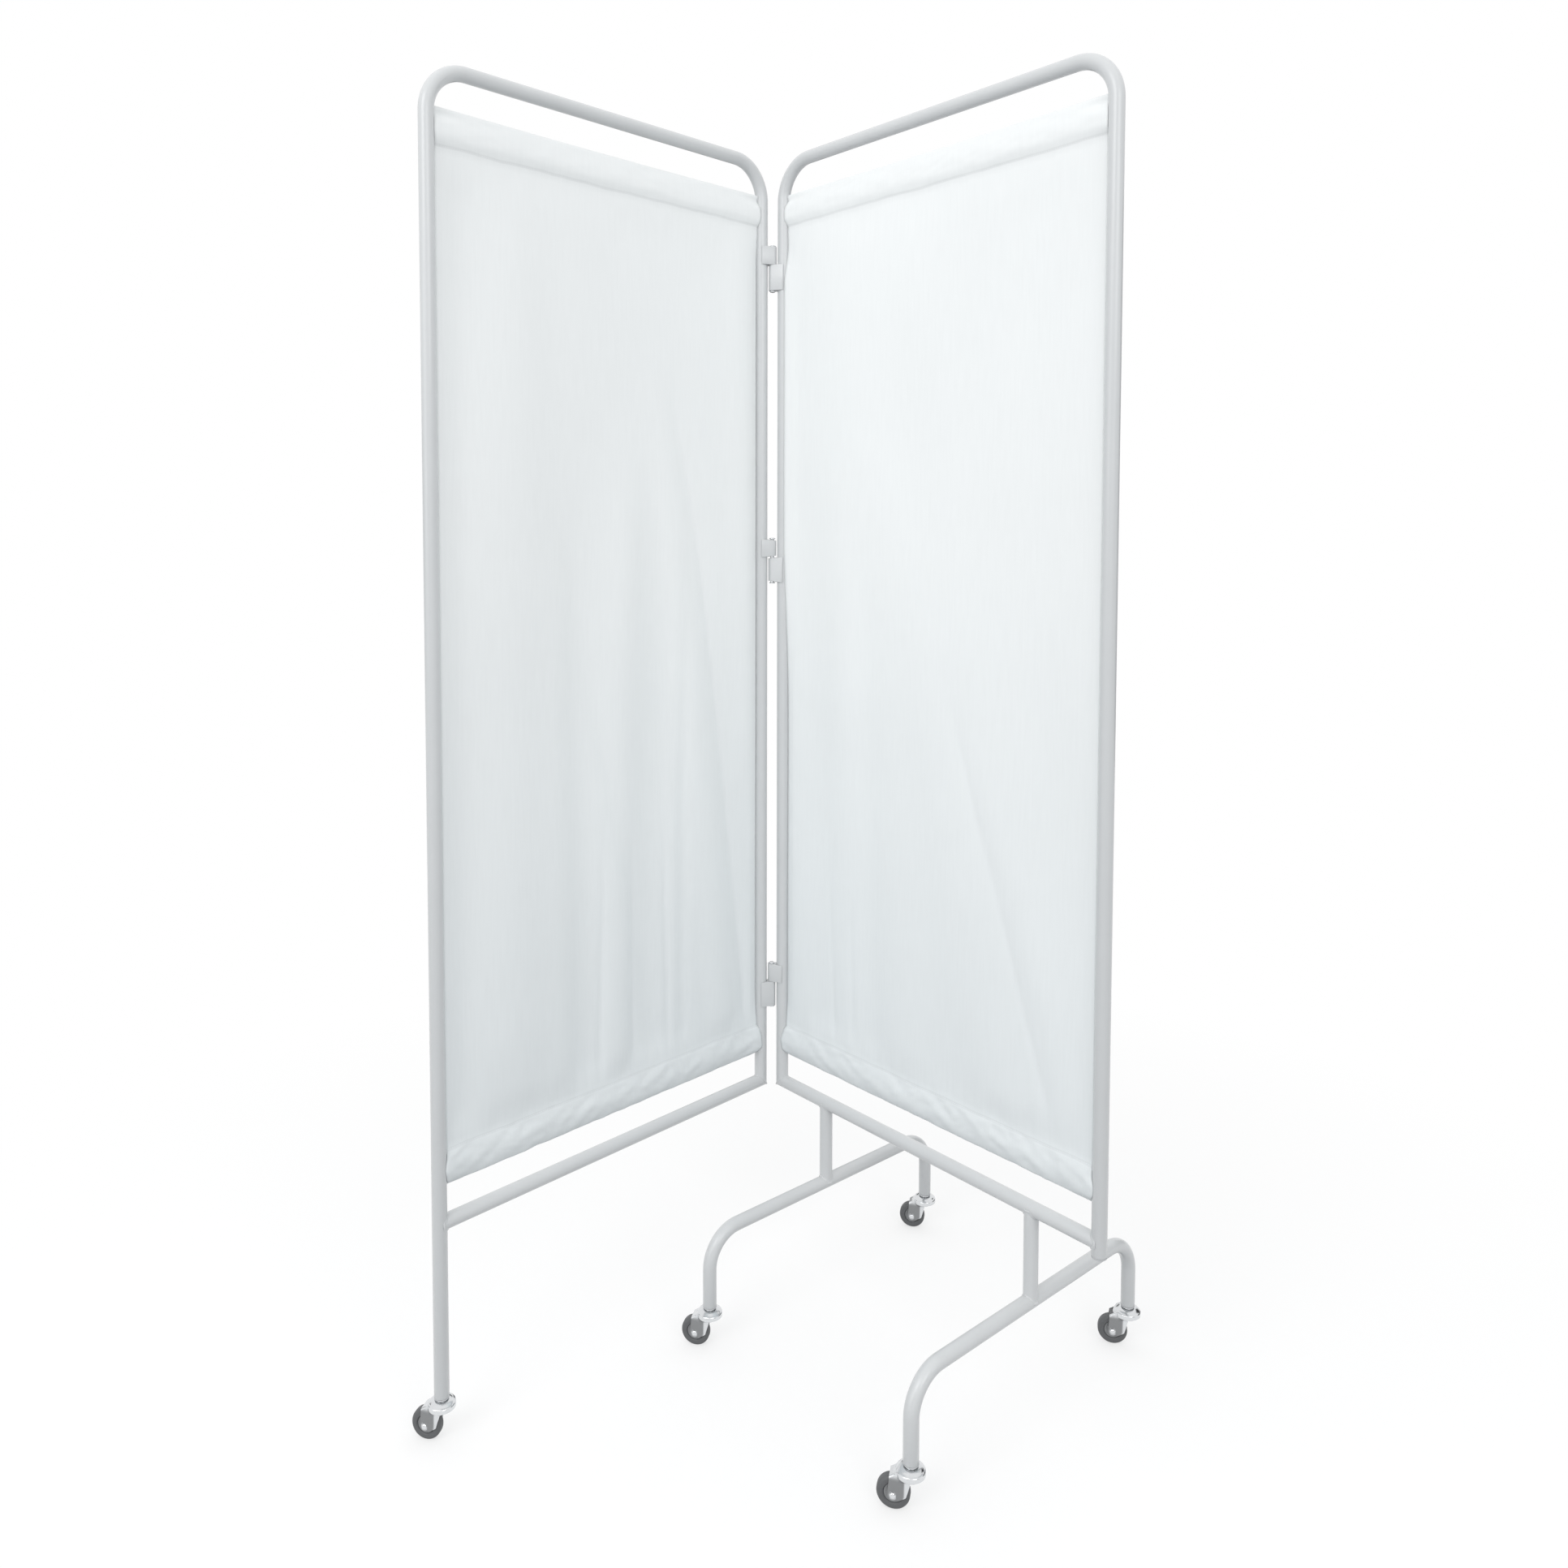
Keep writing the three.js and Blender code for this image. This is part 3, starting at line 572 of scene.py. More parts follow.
def arc_points(centre, radius, start, end, steps):
    return [
        (
            centre[0] + radius * math.cos(start + (end - start) * i / steps),
            centre[1] + radius * math.sin(start + (end - start) * i / steps),
        )
        for i in range(steps + 1)
    ]


def share_along(points, share):
    """The point at a share of the way along a line of points."""
    points = [Vector(p) for p in points]
    runs = [(b - a).length for a, b in zip(points, points[1:])]
    left = share * sum(runs)
    for start, end, run in zip(points, points[1:], runs):
        if left <= run:
            return start.lerp(end, left / run)
        left -= run
    return points[-1]


def both_sides(points):
    """A profile of [radius, height] pairs, followed by its mirror image above height 0."""
    return points + [(radius, -height) for radius, height in reversed(points)]


def verts_of(geometry):
    return [item for item in geometry if isinstance(item, bmesh.types.BMVert)]


def edges_of(geometry):
    return [item for item in geometry if isinstance(item, bmesh.types.BMEdge)]


def verts_on(edges):
    return {vert for edge in edges for vert in edge.verts}


def soften(bm, edges, offset):
    bmesh.ops.bevel(
        bm, geom=edges, offset=offset, affect="EDGES", segments=2, profile=0.5, material=-1
    )


def spun(bm, steps):
    """Turns the line that a bmesh holds once round Z."""
    bmesh.ops.spin(
        bm,
        geom=bm.verts[:] + bm.edges[:],
        cent=(0, 0, 0),
        axis=(0, 0, 1),
        angle=math.tau,
        steps=steps,
        use_merge=True,
        use_duplicate=False,
    )


def ring_at(bm, centre, axis, radius, sides):
    """A circle of edges that faces along an axis."""
    turn = Vector((0, 0, 1)).rotation_difference(Vector(axis)).to_matrix().to_4x4()
    made = bmesh.ops.create_circle(
        bm, segments=sides, radius=radius, matrix=Matrix.Translation(centre) @ turn
    )
    return list({edge for vert in made["verts"] for edge in vert.link_edges})


def run_on(bm, edges, step):
    """Draws a ring of edges out along a step, and returns the new ring."""
    made = bmesh.ops.extrude_edge_only(bm, edges=edges)["geom"]
    new_verts = set(verts_of(made))
    bmesh.ops.translate(bm, vec=step, verts=list(new_verts))
    return [e for e in edges_of(made) if set(e.verts) <= new_verts]


def bend_on(bm, edges, centre, axis, steps):
    """Draws a ring of edges round a quarter bend, and returns the new ring."""
    made = bmesh.ops.spin(
        bm,
        geom=list(verts_on(edges)) + edges,
        cent=centre,
        axis=axis,
        angle=math.radians(90),
        steps=steps,
        use_duplicate=False,
    )
    return edges_of(made["geom_last"])


def tube_along(corners, bend_radius=0.0):
    """A tube through corners, with a round bend at each inner one, and its two end rings."""
    settings = bpy.context.scene.screen_tubes
    bm = bmesh.new()
    corners = [Vector(c) for c in corners]
    ways = [(b - a).normalized() for a, b in zip(corners, corners[1:])]
    at = corners[0]
    first = edges = ring_at(bm, at, ways[0], TUBE_RADIUS, settings.sides)
    for corner, into, out in zip(corners[1:-1], ways, ways[1:]):
        start = corner - into * bend_radius
        edges = run_on(bm, edges, start - at)
        turning = into.cross(out).normalized()
        edges = bend_on(bm, edges, start + out * bend_radius, turning, settings.bend_steps)
        at = corner + out * bend_radius
    last = run_on(bm, edges, corners[-1] - at)
    return bm, first, last


def capped(bm, edges, offset=0.0):
    """Closes an open ring with a flat end, and rounds its rim."""
    bmesh.ops.holes_fill(bm, edges=edges, sides=0)
    if offset:
        soften(bm, edges, offset)


def rounded(points, radius, steps):
    """A profile with its inner corners rounded off by a radius, or by what fits there."""
    corners = [Vector(p) for p in points]
    smooth = [corners[0]]
    for before, corner, after in zip(corners, corners[1:], corners[2:]):
        back, on = before - corner, after - corner
        cut = min(radius, back.length * 0.45, on.length * 0.45)
        start, end = corner + back.normalized() * cut, corner + on.normalized() * cut
        for step in range(steps + 1):
            t = step / steps
            smooth.append(start * (1 - t) ** 2 + corner * 2 * t * (1 - t) + end * t**2)
    smooth.append(corners[-1])
    return [(p.x, p.y) for p in smooth]


def turned(profile, steps, soft, soft_steps=3):
    """A solid turned about Z from [radius, height] pairs, with its corners rounded off.

    A profile that starts away from the axis is closed to a ring.
    """
    profile = rounded(profile, soft, soft_steps)
    if profile[0][0]:
        profile.append(profile[0])
    bm = bmesh.new()
    verts = [bm.verts.new((radius, 0, height)) for radius, height in profile]
    for pair in zip(verts, verts[1:]):
        bm.edges.new(pair)
    spun(bm, steps)
    return bm


def add_into(bm, other):
    """Moves the faces of another bmesh into this one."""
    bmesh.ops.recalc_face_normals(other, faces=other.faces)
    carrier = bpy.data.meshes.new("carrier")
    other.to_mesh(carrier)
    other.free()
    bm.from_mesh(carrier)
    bpy.data.meshes.remove(carrier)


def weld_bead(bm, matrix, saddle, sunk=0.0):
    """A bead round a tube's end. saddle gives how far it stands back at a place across the tube."""
    size = bpy.context.scene.screen_tubes.weld_radius
    bead = bmesh.new()
    ring_at(bead, (TUBE_RADIUS - sunk, 0, 0), (0, 1, 0), size, WELD_SIDES)
    spun(bead, WELD_STEPS)
    for vert in bead.verts:
        around = math.atan2(vert.co.y, vert.co.x)
        ripple = WELD_RIPPLE_SHARE * size * math.sin(WELD_RIPPLES * around)
        vert.co.z += saddle(vert.co) + ripple
    bmesh.ops.transform(bead, matrix=matrix, verts=bead.verts)
    add_into(bm, bead)


def saddle_on_tube(point):
    """How far a tube's end stands back where it meets a tube of its own size."""
    return math.sqrt(max(TUBE_RADIUS**2 - point.y**2, 0) + WELD_STAND_OFF**2)


def finished(name, bm, space, body, slot, *nodes, crisp=35):
    """Sets a piece in its space and makes its object, which rides on a body."""
    if space is not None:
        bmesh.ops.transform(bm, matrix=space, verts=bm.verts)
    bmesh.ops.remove_doubles(bm, verts=bm.verts, dist=MERGE)
    bmesh.ops.recalc_face_normals(bm, faces=bm.faces)
    mesh = bpy.data.meshes.new(name)
    bm.to_mesh(mesh)
    bm.free()
    mesh.shade_smooth()
    mesh.set_sharp_from_angle(angle=math.radians(crisp))
    mesh.materials.append(finish_of(slot))
    piece = bpy.data.objects.new(name, mesh)
    bpy.context.scene.collection.objects.link(piece)
    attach(piece, body)
    if nodes:
        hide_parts(*nodes)
    return piece


# Frames


def build_frame(panel):
    """One bent tube with its bottom rail, drawn from the hinge pin outwards."""
    space, body, slot = SPACES[panel], f"{panel}_panel", "white_powder_coat"
    y = -FRONTS[panel] * PIN_BEFORE_LEG
    leg_end = BRACED_LEG_END if panel == "braced" else CASTER_TOP
    corners = [
        (OUTER_LEG, y, leg_end),
        (OUTER_LEG, y, TOP_RAIL),
        (INNER_LEG, y, TOP_RAIL),
        (INNER_LEG, y, BOTTOM_RAIL),
    ]
    bm, outer_end, inner_end = tube_along(corners, FRAME_BEND)
    for vert in verts_on(inner_end):
        vert.co.z = BOTTOM_RAIL + (vert.co.x - INNER_LEG)
    capped(bm, inner_end)
    capped(bm, outer_end, TUBE_END_SOFT)
    finished(f"{panel}_frame", bm, space, body, slot, f"{panel}_frame_tube")

    corners = [(INNER_LEG, y, BOTTOM_RAIL), (OUTER_LEG - RAIL_SHORT_OF_LEG, y, BOTTOM_RAIL)]
    bm, mitre, butt = tube_along(corners)
    for vert in verts_on(mitre):
        vert.co.x = INNER_LEG + (vert.co.z - BOTTOM_RAIL)
    capped(bm, mitre)
    capped(bm, butt)
    finished(f"{panel}_rail", bm, space, body, slot, f"{panel}_bottom_rail")

    bm = bmesh.new()
    to_leg = Matrix.Translation((OUTER_LEG, y, BOTTOM_RAIL)) @ turn_by(-90, "Y")
    to_corner = Matrix.Translation((INNER_LEG, y, BOTTOM_RAIL)) @ turn_by(-90, "Y")
    weld_bead(bm, space @ to_leg, saddle_on_tube)
    weld_bead(bm, space @ to_corner, lambda place: -place.x, CORNER_WELD_SUNK)
    finished(f"{panel}_frame_welds", bm, None, body, slot)


class SCREEN_OT_frames(bpy.types.Operator):
    """Builds both bent-tube frames with their bottom rails and welds"""

    bl_idname = "screen.frames"
    bl_label = "Frames"

    def execute(self, context):
        for panel in SPACES:
            build_frame(panel)
        return {"FINISHED"}


class SCREEN_OT_feet(bpy.types.Operator):
    """Builds the two bent-tube feet, their posts and the plug in the braced leg"""

    bl_idname = "screen.feet"
    bl_label = "Feet"

    def execute(self, context):
        space, body, coat, y = SPACES["braced"], "braced_panel", "white_powder_coat", PIN_BEFORE_LEG
        front, rear = y - FOOT_REACH, y + FOOT_REACH
        for name, x in (("outer", OUTER_LEG - FOOT_INSET), ("inner", INNER_LEG + FOOT_INSET)):
            foot = [(x, front, CASTER_TOP), (x, front, FOOT_BEAM)]
            foot += [(x, rear, FOOT_BEAM), (x, rear, CASTER_TOP)]
            post = [(x, y, FOOT_BEAM), (x, y, BOTTOM_RAIL)]
            for piece, tube, corners, bend, soft in (
                ("foot", "foot_tube", foot, FOOT_BEND, TUBE_END_SOFT),
                ("post", "foot_post", post, 0, 0),
            ):
                bm, *ends = tube_along(corners, bend)
                for end in ends:
                    capped(bm, end, soft)
                finished(f"{name}_{piece}", bm, space, body, coat, f"{name}_{tube}")

            bm = bmesh.new()
            for end, turn in zip(post, (turn_by(90, "Z"), turn_by(180, "X"))):
                weld_bead(bm, space @ Matrix.Translation(end) @ turn, saddle_on_tube)
            finished(f"{name}_foot_welds", bm, None, body, coat)

        bm = turned(PLUG, 48, 0.6 * MM)
        place = space @ Matrix.Translation((OUTER_LEG, y, BRACED_LEG_END))
        finished("leg_plug", bm, place, body, "socket_plastic", "braced_leg_plug")
        return {"FINISHED"}


# Hinges


def build_lug(name, panel, low, high):
    """A barrel round the pin, with an arm that fits against the leg and laps over its front."""
    front = FRONTS[panel]
    leg = (PIN_PAST_LEG, -PIN_BEFORE_LEG)
    reach = math.hypot(*leg)
    saddle = TUBE_RADIUS + LUG_GAP
    strap = saddle + LUG_STRAP
    to_pin = math.atan2(-leg[1], -leg[0])
    tangent = to_pin - math.acos((strap - BARREL_RADIUS) / reach)
    wrap = tangent - math.pi / 15
    outline = (
        arc_points(leg, saddle, to_pin + math.pi / 5, wrap, 14)
        + arc_points(leg, strap, wrap, tangent, 4)
        + arc_points((0, 0), BARREL_RADIUS, tangent, to_pin + math.pi / 2, 26)
    )
    bm = bmesh.new()
    face = bm.faces.new([bm.verts.new((x, y * front, low)) for x, y in outline])
    grown = bmesh.ops.extrude_face_region(bm, geom=[face])["geom"]
    bmesh.ops.translate(bm, vec=(0, 0, high - low), verts=verts_of(grown))
    for vert in bm.verts:
        away = math.hypot(vert.co.x - leg[0], vert.co.y * front - leg[1])
        inward = -1 if vert.co.z > (low + high) / 2 else 1
        vert.co.z += inward * DRAWN_IN[name] * eased(away, strap, reach)
    bmesh.ops.recalc_face_normals(bm, faces=bm.faces)
    rims = [e for e in bm.edges if abs(e.verts[0].co.z - e.verts[1].co.z) < SAME_PLACE]
    soften(bm, rims, LUG_SOFT)
    plate, lug = f"{name}_plate_{panel}", f"{name}_{panel}_lug"
    finished(plate, bm, SPACES[panel], f"{panel}_panel", "white_powder_coat", lug)


class SCREEN_OT_hinges(bpy.types.Operator):
    """Builds the lugs and the pins of the three hinges"""

    bl_idname = "screen.hinges"
    bl_label = "Hinges"

    def execute(self, context):
        for hinge in DRAWN_IN:
            for panel in SPACES:
                low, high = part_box(f"{hinge}_{panel}_lug")
                build_lug(hinge, panel, low.z, high.z)
            low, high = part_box(f"{hinge}_pin")
            half = (high.z - low.z) / 2
            neck = half - RIVET_HEAD_DEPTH
            lower = [
                (0, -half),
                (RIVET_HEAD * 0.7, -half),
                (RIVET_HEAD, -half + RIVET_HEAD_DEPTH / 2),
                (RIVET_HEAD, -neck),
                (RIVET_RADIUS, -neck),
            ]
            bm = turned(both_sides(lower), 40, 0.5 * MM)
            place = Matrix.Translation((low + high) / 2)
            finished(f"{hinge}_rivet", bm, place, "braced_panel", "zinc_plate", f"{hinge}_pin")
        return {"FINISHED"}


# Curtains


def fold(depth, width, *line, creased=False):
    """A main fold, down a line of places from top to bottom.

    A place is given as shares: across from the inner leg, and up from the hem. The depth is a
    share of the fold depth, and the half width a share of the cloth's width. A creased fold comes
    to a sharp line.
    """
    return {"depth": depth, "width": width, "line": line, "creased": creased}


WING_FOLDS = [
    fold(-0.62, 0.036, (0.27, 0.70), (0.217, 0.60), (0.128, 0.33), (0.05, 0.05), creased=True),
    fold(0.5, 0.055, (0.34, 0.72), (0.30, 0.58), (0.21, 0.33), (0.14, 0.04)),
    fold(-0.6, 0.06, (0.38, 0.62), (0.36, 0.48), (0.41, 0.08)),
    fold(0.38, 0.05, (0.47, 0.62), (0.49, 0.42), (0.50, 0.05)),
    fold(-0.45, 0.045, (0.623, 0.54), (0.614, 0.36), (0.605, 0.06)),
    fold(-0.26, 0.03, (0.62, 0.54), (0.53, 0.36), (0.37, 0.04)),
    fold(0.28, 0.05, (0.69, 0.56), (0.69, 0.30), (0.68, 0.05)),
    fold(0.75, 0.08, (0.79, 0.92), (0.80, 0.50), (0.81, 0.10)),
    fold(-0.5, 0.04, (0.95, 0.95), (0.957, 0.54), (0.965, 0.05)),
    fold(-0.26, 0.022, (0.27, 0.50), (0.28, 0.30), (0.28, 0.02)),
    fold(-0.38, 0.018, (0.45, 0.20), (0.45, 0.0), creased=True),
    fold(-0.38, 0.018, (0.34, 0.22), (0.33, 0.0), creased=True),
    fold(-0.32, 0.018, (0.55, 0.20), (0.56, 0.0), creased=True),
    fold(0.3, 0.05, (0.08, 0.95), (0.06, 0.70), (0.04, 0.40)),
]
BRACED_FOLDS = [
    fold(-0.17, 0.024, (0.60, 0.42), (0.66, 0.33), (0.78, 0.17), (0.88, 0.04), creased=True),
    fold(0.1, 0.04, (0.66, 0.40), (0.72, 0.32), (0.83, 0.18), (0.93, 0.06)),
    fold(0.3, 0.09, (0.42, 0.62), (0.56, 0.34), (0.66, 0.12), (0.72, 0.02)),
    fold(0.45, 0.14, (0.25, 0.95), (0.25, 0.70), (0.22, 0.45)),
    fold(-0.5, 0.08, (0.10, 0.62), (0.12, 0.30), (0.14, 0.03)),
    fold(-0.3, 0.05, (0.30, 0.58), (0.31, 0.30), (0.33, 0.03)),
    fold(-0.22, 0.014, (0.17, 0.16), (0.19, 0.0), creased=True),
    fold(-0.18, 0.014, (0.25, 0.14), (0.26, 0.0), creased=True),
    fold(-0.2, 0.08, (0.80, 0.90), (0.84, 0.55), (0.90, 0.25)),
]


def strip_corners():
    """The corners of a curtain's profile in order, from the seam at the back to the other one."""
    behind = [(-out, height) for out, height in reversed(HEADER_FRONT)]
    under = [(-out, height) for out, height in reversed(HEM_FRONT)]
    corners = behind + HEADING + HEADER_FRONT + HEM_FRONT + [(0, HEM_BOTTOM)] + under
    return [Vector(corner) for corner in corners]


def strip_rows():
    """Points along the profile, close together round the rods and wider on the sheet."""
    corners = strip_corners()
    rows = [corners[0]]
    for i, (start, end) in enumerate(zip(corners, corners[1:])):
        run = (end - start).length
        if run > LONG_RUN:
            steps = round(run / LONG_STEP)
            rows += [start.lerp(end, step / steps) for step in range(1, steps + 1)]
            continue
        steps = max(2, round(run / SHORT_STEP))
        before, after = corners[max(i - 1, 0)], corners[min(i + 2, len(corners) - 1)]
        pull_in = end - before if (start - before).length < LONG_RUN else end - start
        pull_out = after - start if (after - end).length < LONG_RUN else end - start
        for step in range(1, steps + 1):
            t = step / steps
            rows.append(
                start * (2 * t**3 - 3 * t**2 + 1)
                + pull_in * (0.5 * (t**3 - 2 * t**2 + t))
                + end * (3 * t**2 - 2 * t**3)
                + pull_out * (0.5 * (t**3 - t**2))
            )
    return rows


def strip_lengths(rows):
    """How far along the strip each row lies."""
    lengths = [0.0]
    for a, b in zip(rows, rows[1:]):
        lengths.append(lengths[-1] + (b - a).length)
    return lengths


def seam_lines():
    """Where the rows of stitches lie along the strip: header, hem, and the two cut ends."""
    rows = strip_rows()
    lengths = strip_lengths(rows)

    def at(height):
        corner = Vector((SEAM, height))
        return min(zip(rows, lengths), key=lambda row: (row[0] - corner).length)[1]

    return [
        at(POCKET_END) - STITCH_INSET,
        at(HEM_SEAM) + STITCH_INSET,
        STITCH_INSET,
        lengths[-1] - STITCH_INSET,
    ]


def fold_at(folds, across, up):
    """How far the folds push the cloth out at a place on it, as a share of the fold depth."""
    push = 0.0
    for one in folds:
        line = one["line"]
        high, low = line[0][1], line[-1][1]
        if not low - FOLD_BELOW <= up <= high + FOLD_ABOVE:
            continue
        place = line[-1][0]
        for (x0, y0), (x1, y1) in zip(line, line[1:]):
            if up > y1:
                share = min(max((y0 - up) / (y0 - y1), -0.6), 1)
                place = x0 + (x1 - x0) * share
                break
        fade = eased(high + FOLD_ABOVE - up, 0, FOLD_FADE)
        fade *= eased(up - low + FOLD_BELOW, 0, FOLD_BELOW)
        apart = (across - place) / one["width"]
        if one["creased"]:
            form = math.exp(-math.sqrt(apart * apart * 2.6 + 0.02))
        else:
            form = math.exp(-apart * apart)
        push += one["depth"] * fade * form
    return push


def band_creases(seed, across, height, out):
    """The small slanting creases of a sewn band."""
    slant = Vector((across * 22 + height * 55, across * 7 - height * 38, out * 90))
    fine = Vector((across * 60 - height * 90, height * 110, out * 120))
    return noise.noise(seed + slant) + 0.45 * noise.noise(seed + fine)


def end_puff(across, reach):
    """1 at the two ends of a pocket, which stand open round the rod, and 0 away from them."""
    return 1 - eased(min(across, 1 - across), 0, reach)


def hump(value, middle, width):
    """1 at a middle, falling off smoothly to either side."""
    return math.exp(-(((value - middle) / width) ** 2))


def sheet_push(panel, folds, seed, across, up):
    """How far the sheet between the pockets stands out, with its folds, edges and puckers."""
    depth = bpy.context.scene.screen_curtains.fold_depth
    held = eased(1 - up, 0, 0.05) * eased(up, 0, 0.035)
    slow = noise.noise(seed + Vector((across * 5, up * 4, 0)))
    folded = fold_at(folds, across, up) + SLOW_SWELL * slow
    folded = FOLD_LIMIT * math.tanh(depth * folded / FOLD_LIMIT)
    edges = eased(min(across, 1 - across), 0, 0.05)
    inner_edge = -INNER_EDGE_BACK
    if panel == "braced":
        inner_edge += INNER_EDGE_BULGE * eased(up, 0.40, 0.62) * eased(0.99 - up, 0, 0.06)
    inner_edge *= 1 - eased(across, 0, 0.03 if inner_edge < 0 else 0.055)
    pucker = noise.noise(seed + Vector((across * 38, up * 9, 4)))
    near_seam = hump(up, 1, 0.022) + hump(up, 0, 0.03)
    flat = held * (folded * (0.25 + 0.75 * edges) + inner_edge)
    return flat + SEAM_PUCKER * pucker * near_seam * edges


def cloth_push(panel, folds, seed, across, out, height):
    """How far the cloth stands out of its flat place."""
    up = (height - HEM_SEAM) / (POCKET_END - HEM_SEAM)
    side = 1 if out > 0 else -1
    if 0 <= up <= 1:
        return sheet_push(panel, folds, seed, across, up)
    if height < HEM_SEAM:
        low = eased(HEM_SEAM - height, 0, 8 * MM)
        puffed = side * HEM_END_PUFF * end_puff(across, 0.07)
        puffed *= eased(height, HEM_BOTTOM, HEM_BOTTOM + 8 * MM)
        return low * (puffed + HEM_CREASE * band_creases(seed, across, height, out))
    high = eased(height - POCKET_END, 0, 7 * MM) * eased(HEADING_TOP - height, 0, 5 * MM)
    puffed = side * HEADER_END_PUFF * end_puff(across, 0.05)
    puffed *= eased(1638 * MM - height, 0, 10 * MM)
    dent = HEADER_DENT * hump(height, HEADER_DENT_HEIGHT, 5 * MM) * end_puff(across, 0.09)
    crease = HEADER_CREASE * band_creases(seed, across * 0.5, height, out)
    return high * (puffed - dent + crease)


def seam_wander(seed, across, height):
    """How far a sewn seam strays up or down from its line."""
    stray = noise.noise(seed + Vector((across * 9, 0, 7)))
    stray += 0.5 * noise.noise(seed + Vector((across * 31, 0, 2)))
    near = hump(height, POCKET_END, 12 * MM) + hump(height, HEM_SEAM, 12 * MM)
    sag = -HEADING_SAG * hump(height, HEADING_TOP, 9 * MM) * math.sin(math.pi * across)
    return SEAM_STRAY * stray * near + sag


def leg_clearance(out):
    """How far from a leg's centre line the cloth stops, at a place in front of it."""
    reach = TUBE_RADIUS + LEG_GAP
    return math.sqrt(max(reach * reach - out * out, LEAST_CLEARANCE**2))


def build_curtain(panel, folds, seed):
    """One strip of cloth: a grid laid along the profile, with its own map in metres."""
    settings = bpy.context.scene.screen_curtains
    rows = strip_rows()
    lengths = strip_lengths(rows)
    columns = settings.columns
    ends = []
    for out, height in rows:
        start = out + cloth_push(panel, folds, seed, 0, out, height)
        end = out + cloth_push(panel, folds, seed, 1, out, height)
        ends.append((INNER_LEG + leg_clearance(start), OUTER_LEG - leg_clearance(end)))
    bm = bmesh.new()
    bmesh.ops.create_grid(bm, x_segments=columns, y_segments=len(rows) - 1, size=0.5)
    cloth_map = bm.loops.layers.uv.new("cloth")
    map_place = {}
    for vert in bm.verts:
        across = round((vert.co.x + 0.5) * columns) / columns
        row = round((vert.co.y + 0.5) * (len(rows) - 1))
        map_place[vert] = (across * CLOTH_WIDTH, lengths[row])
        out, height = rows[row]
        start, end = ends[row]
        push = cloth_push(panel, folds, seed, across, out, height)
        y = FRONTS[panel] * (out + push - PIN_BEFORE_LEG)
        rise = seam_wander(seed, across, height)
        vert.co = (start + across * (end - start), y, height + rise)
    for face in bm.faces:
        for loop in face.loops:
            loop[cloth_map].uv = map_place[loop.vert]
    place = (SPACES[panel], f"{panel}_panel", "curtain_cloth", f"{panel}_curtain")
    cloth = finished(f"{panel}_cloth", bm, *place, crisp=180)
    wall = cloth.modifiers.new("cloth thickness", "SOLIDIFY")
    wall.thickness = settings.thickness
    wall.offset = 0


class SCREEN_OT_curtains(bpy.types.Operator):
    """Builds both curtains and gives their rods a finish"""

    bl_idname = "screen.curtains"
    bl_label = "Curtains"

    def execute(self, context):
        build_curtain("wing", WING_FOLDS, Vector((3.1, 0.7, 5.3)))
        build_curtain("braced", BRACED_FOLDS, Vector((8.2, 4.4, 1.9)))
        for panel in SPACES:
            for rod in ("header_rod", "hem_rod"):
                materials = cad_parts[f"{panel}_{rod}"].data.materials
                materials.clear()
                materials.append(finish_of("rod_steel"))
        return {"FINISHED"}


# Casters


def fork_top(x, y):
    """Height of the fork's top: a flat dome that runs out into a hood over the wheel."""
    from_stem = math.hypot(x, y)
    dome = CROWN_TOP - CROWN_FALL * (max(from_stem - CROWN_FLAT, 0) / CROWN_RUN) ** 2
    dome -= 2 * max(from_stem - CROWN_RADIUS, 0)
    hood = HOOD_HEIGHT + HOOD_SLOPE * min(HOOD_END - x, 14.8 * MM)
    hood -= max(9.6 * MM - x, 0) + 2 * max(abs(y) - 7.5 * MM, 0)
    blend = 1.2 * MM
    joined = blend * math.log(1 + math.exp(-abs(dome - hood) / blend))
    return max(dome, hood) + joined - 0.2 * blend


def front_edge(z):
    """Where the front edge of a fork leg lies at a height."""
    return LEG_FRONT - LEG_LEAN * (z - AXLE_HEIGHT) / LEG_RUN


def leg_wall(x, z):
    """A place on a leg of the fork: how far it stands out, and how much painted shade and roughness
    its plate gets there.
    """
    flare = eased(z, *FLARE)
    wide = math.sqrt(max(CROWN_RADIUS**2 - x * x, FORK_HALF_WIDTH**2))
    apart = max(x - front_edge(z), 0)
    roll = 3 * MM + 6 * MM * min(max((z - AXLE_HEIGHT) / (22 * MM), 0), 1)
    curl = 0.8 * MM + 1.5 * MM * eased(z, *CURL)
    y = FORK_HALF_WIDTH + (wide - FORK_HALF_WIDTH) * flare
    y -= curl * (1 - flare) * max(1 - apart / roll, 0) ** 2
    from_eye = math.hypot(x - CASTER_TRAIL, z - AXLE_HEIGHT)
    # Painted shade on the leg below about 45 mm; the curled front edge and the eye stay bright as
    # painted highlights
    dark_and_rough = eased(45 * MM - z, 0, 7 * MM) * eased(apart, roll - 1.5 * MM, roll + 0.5 * MM)
    return y, dark_and_rough * eased(from_eye, *EYE)


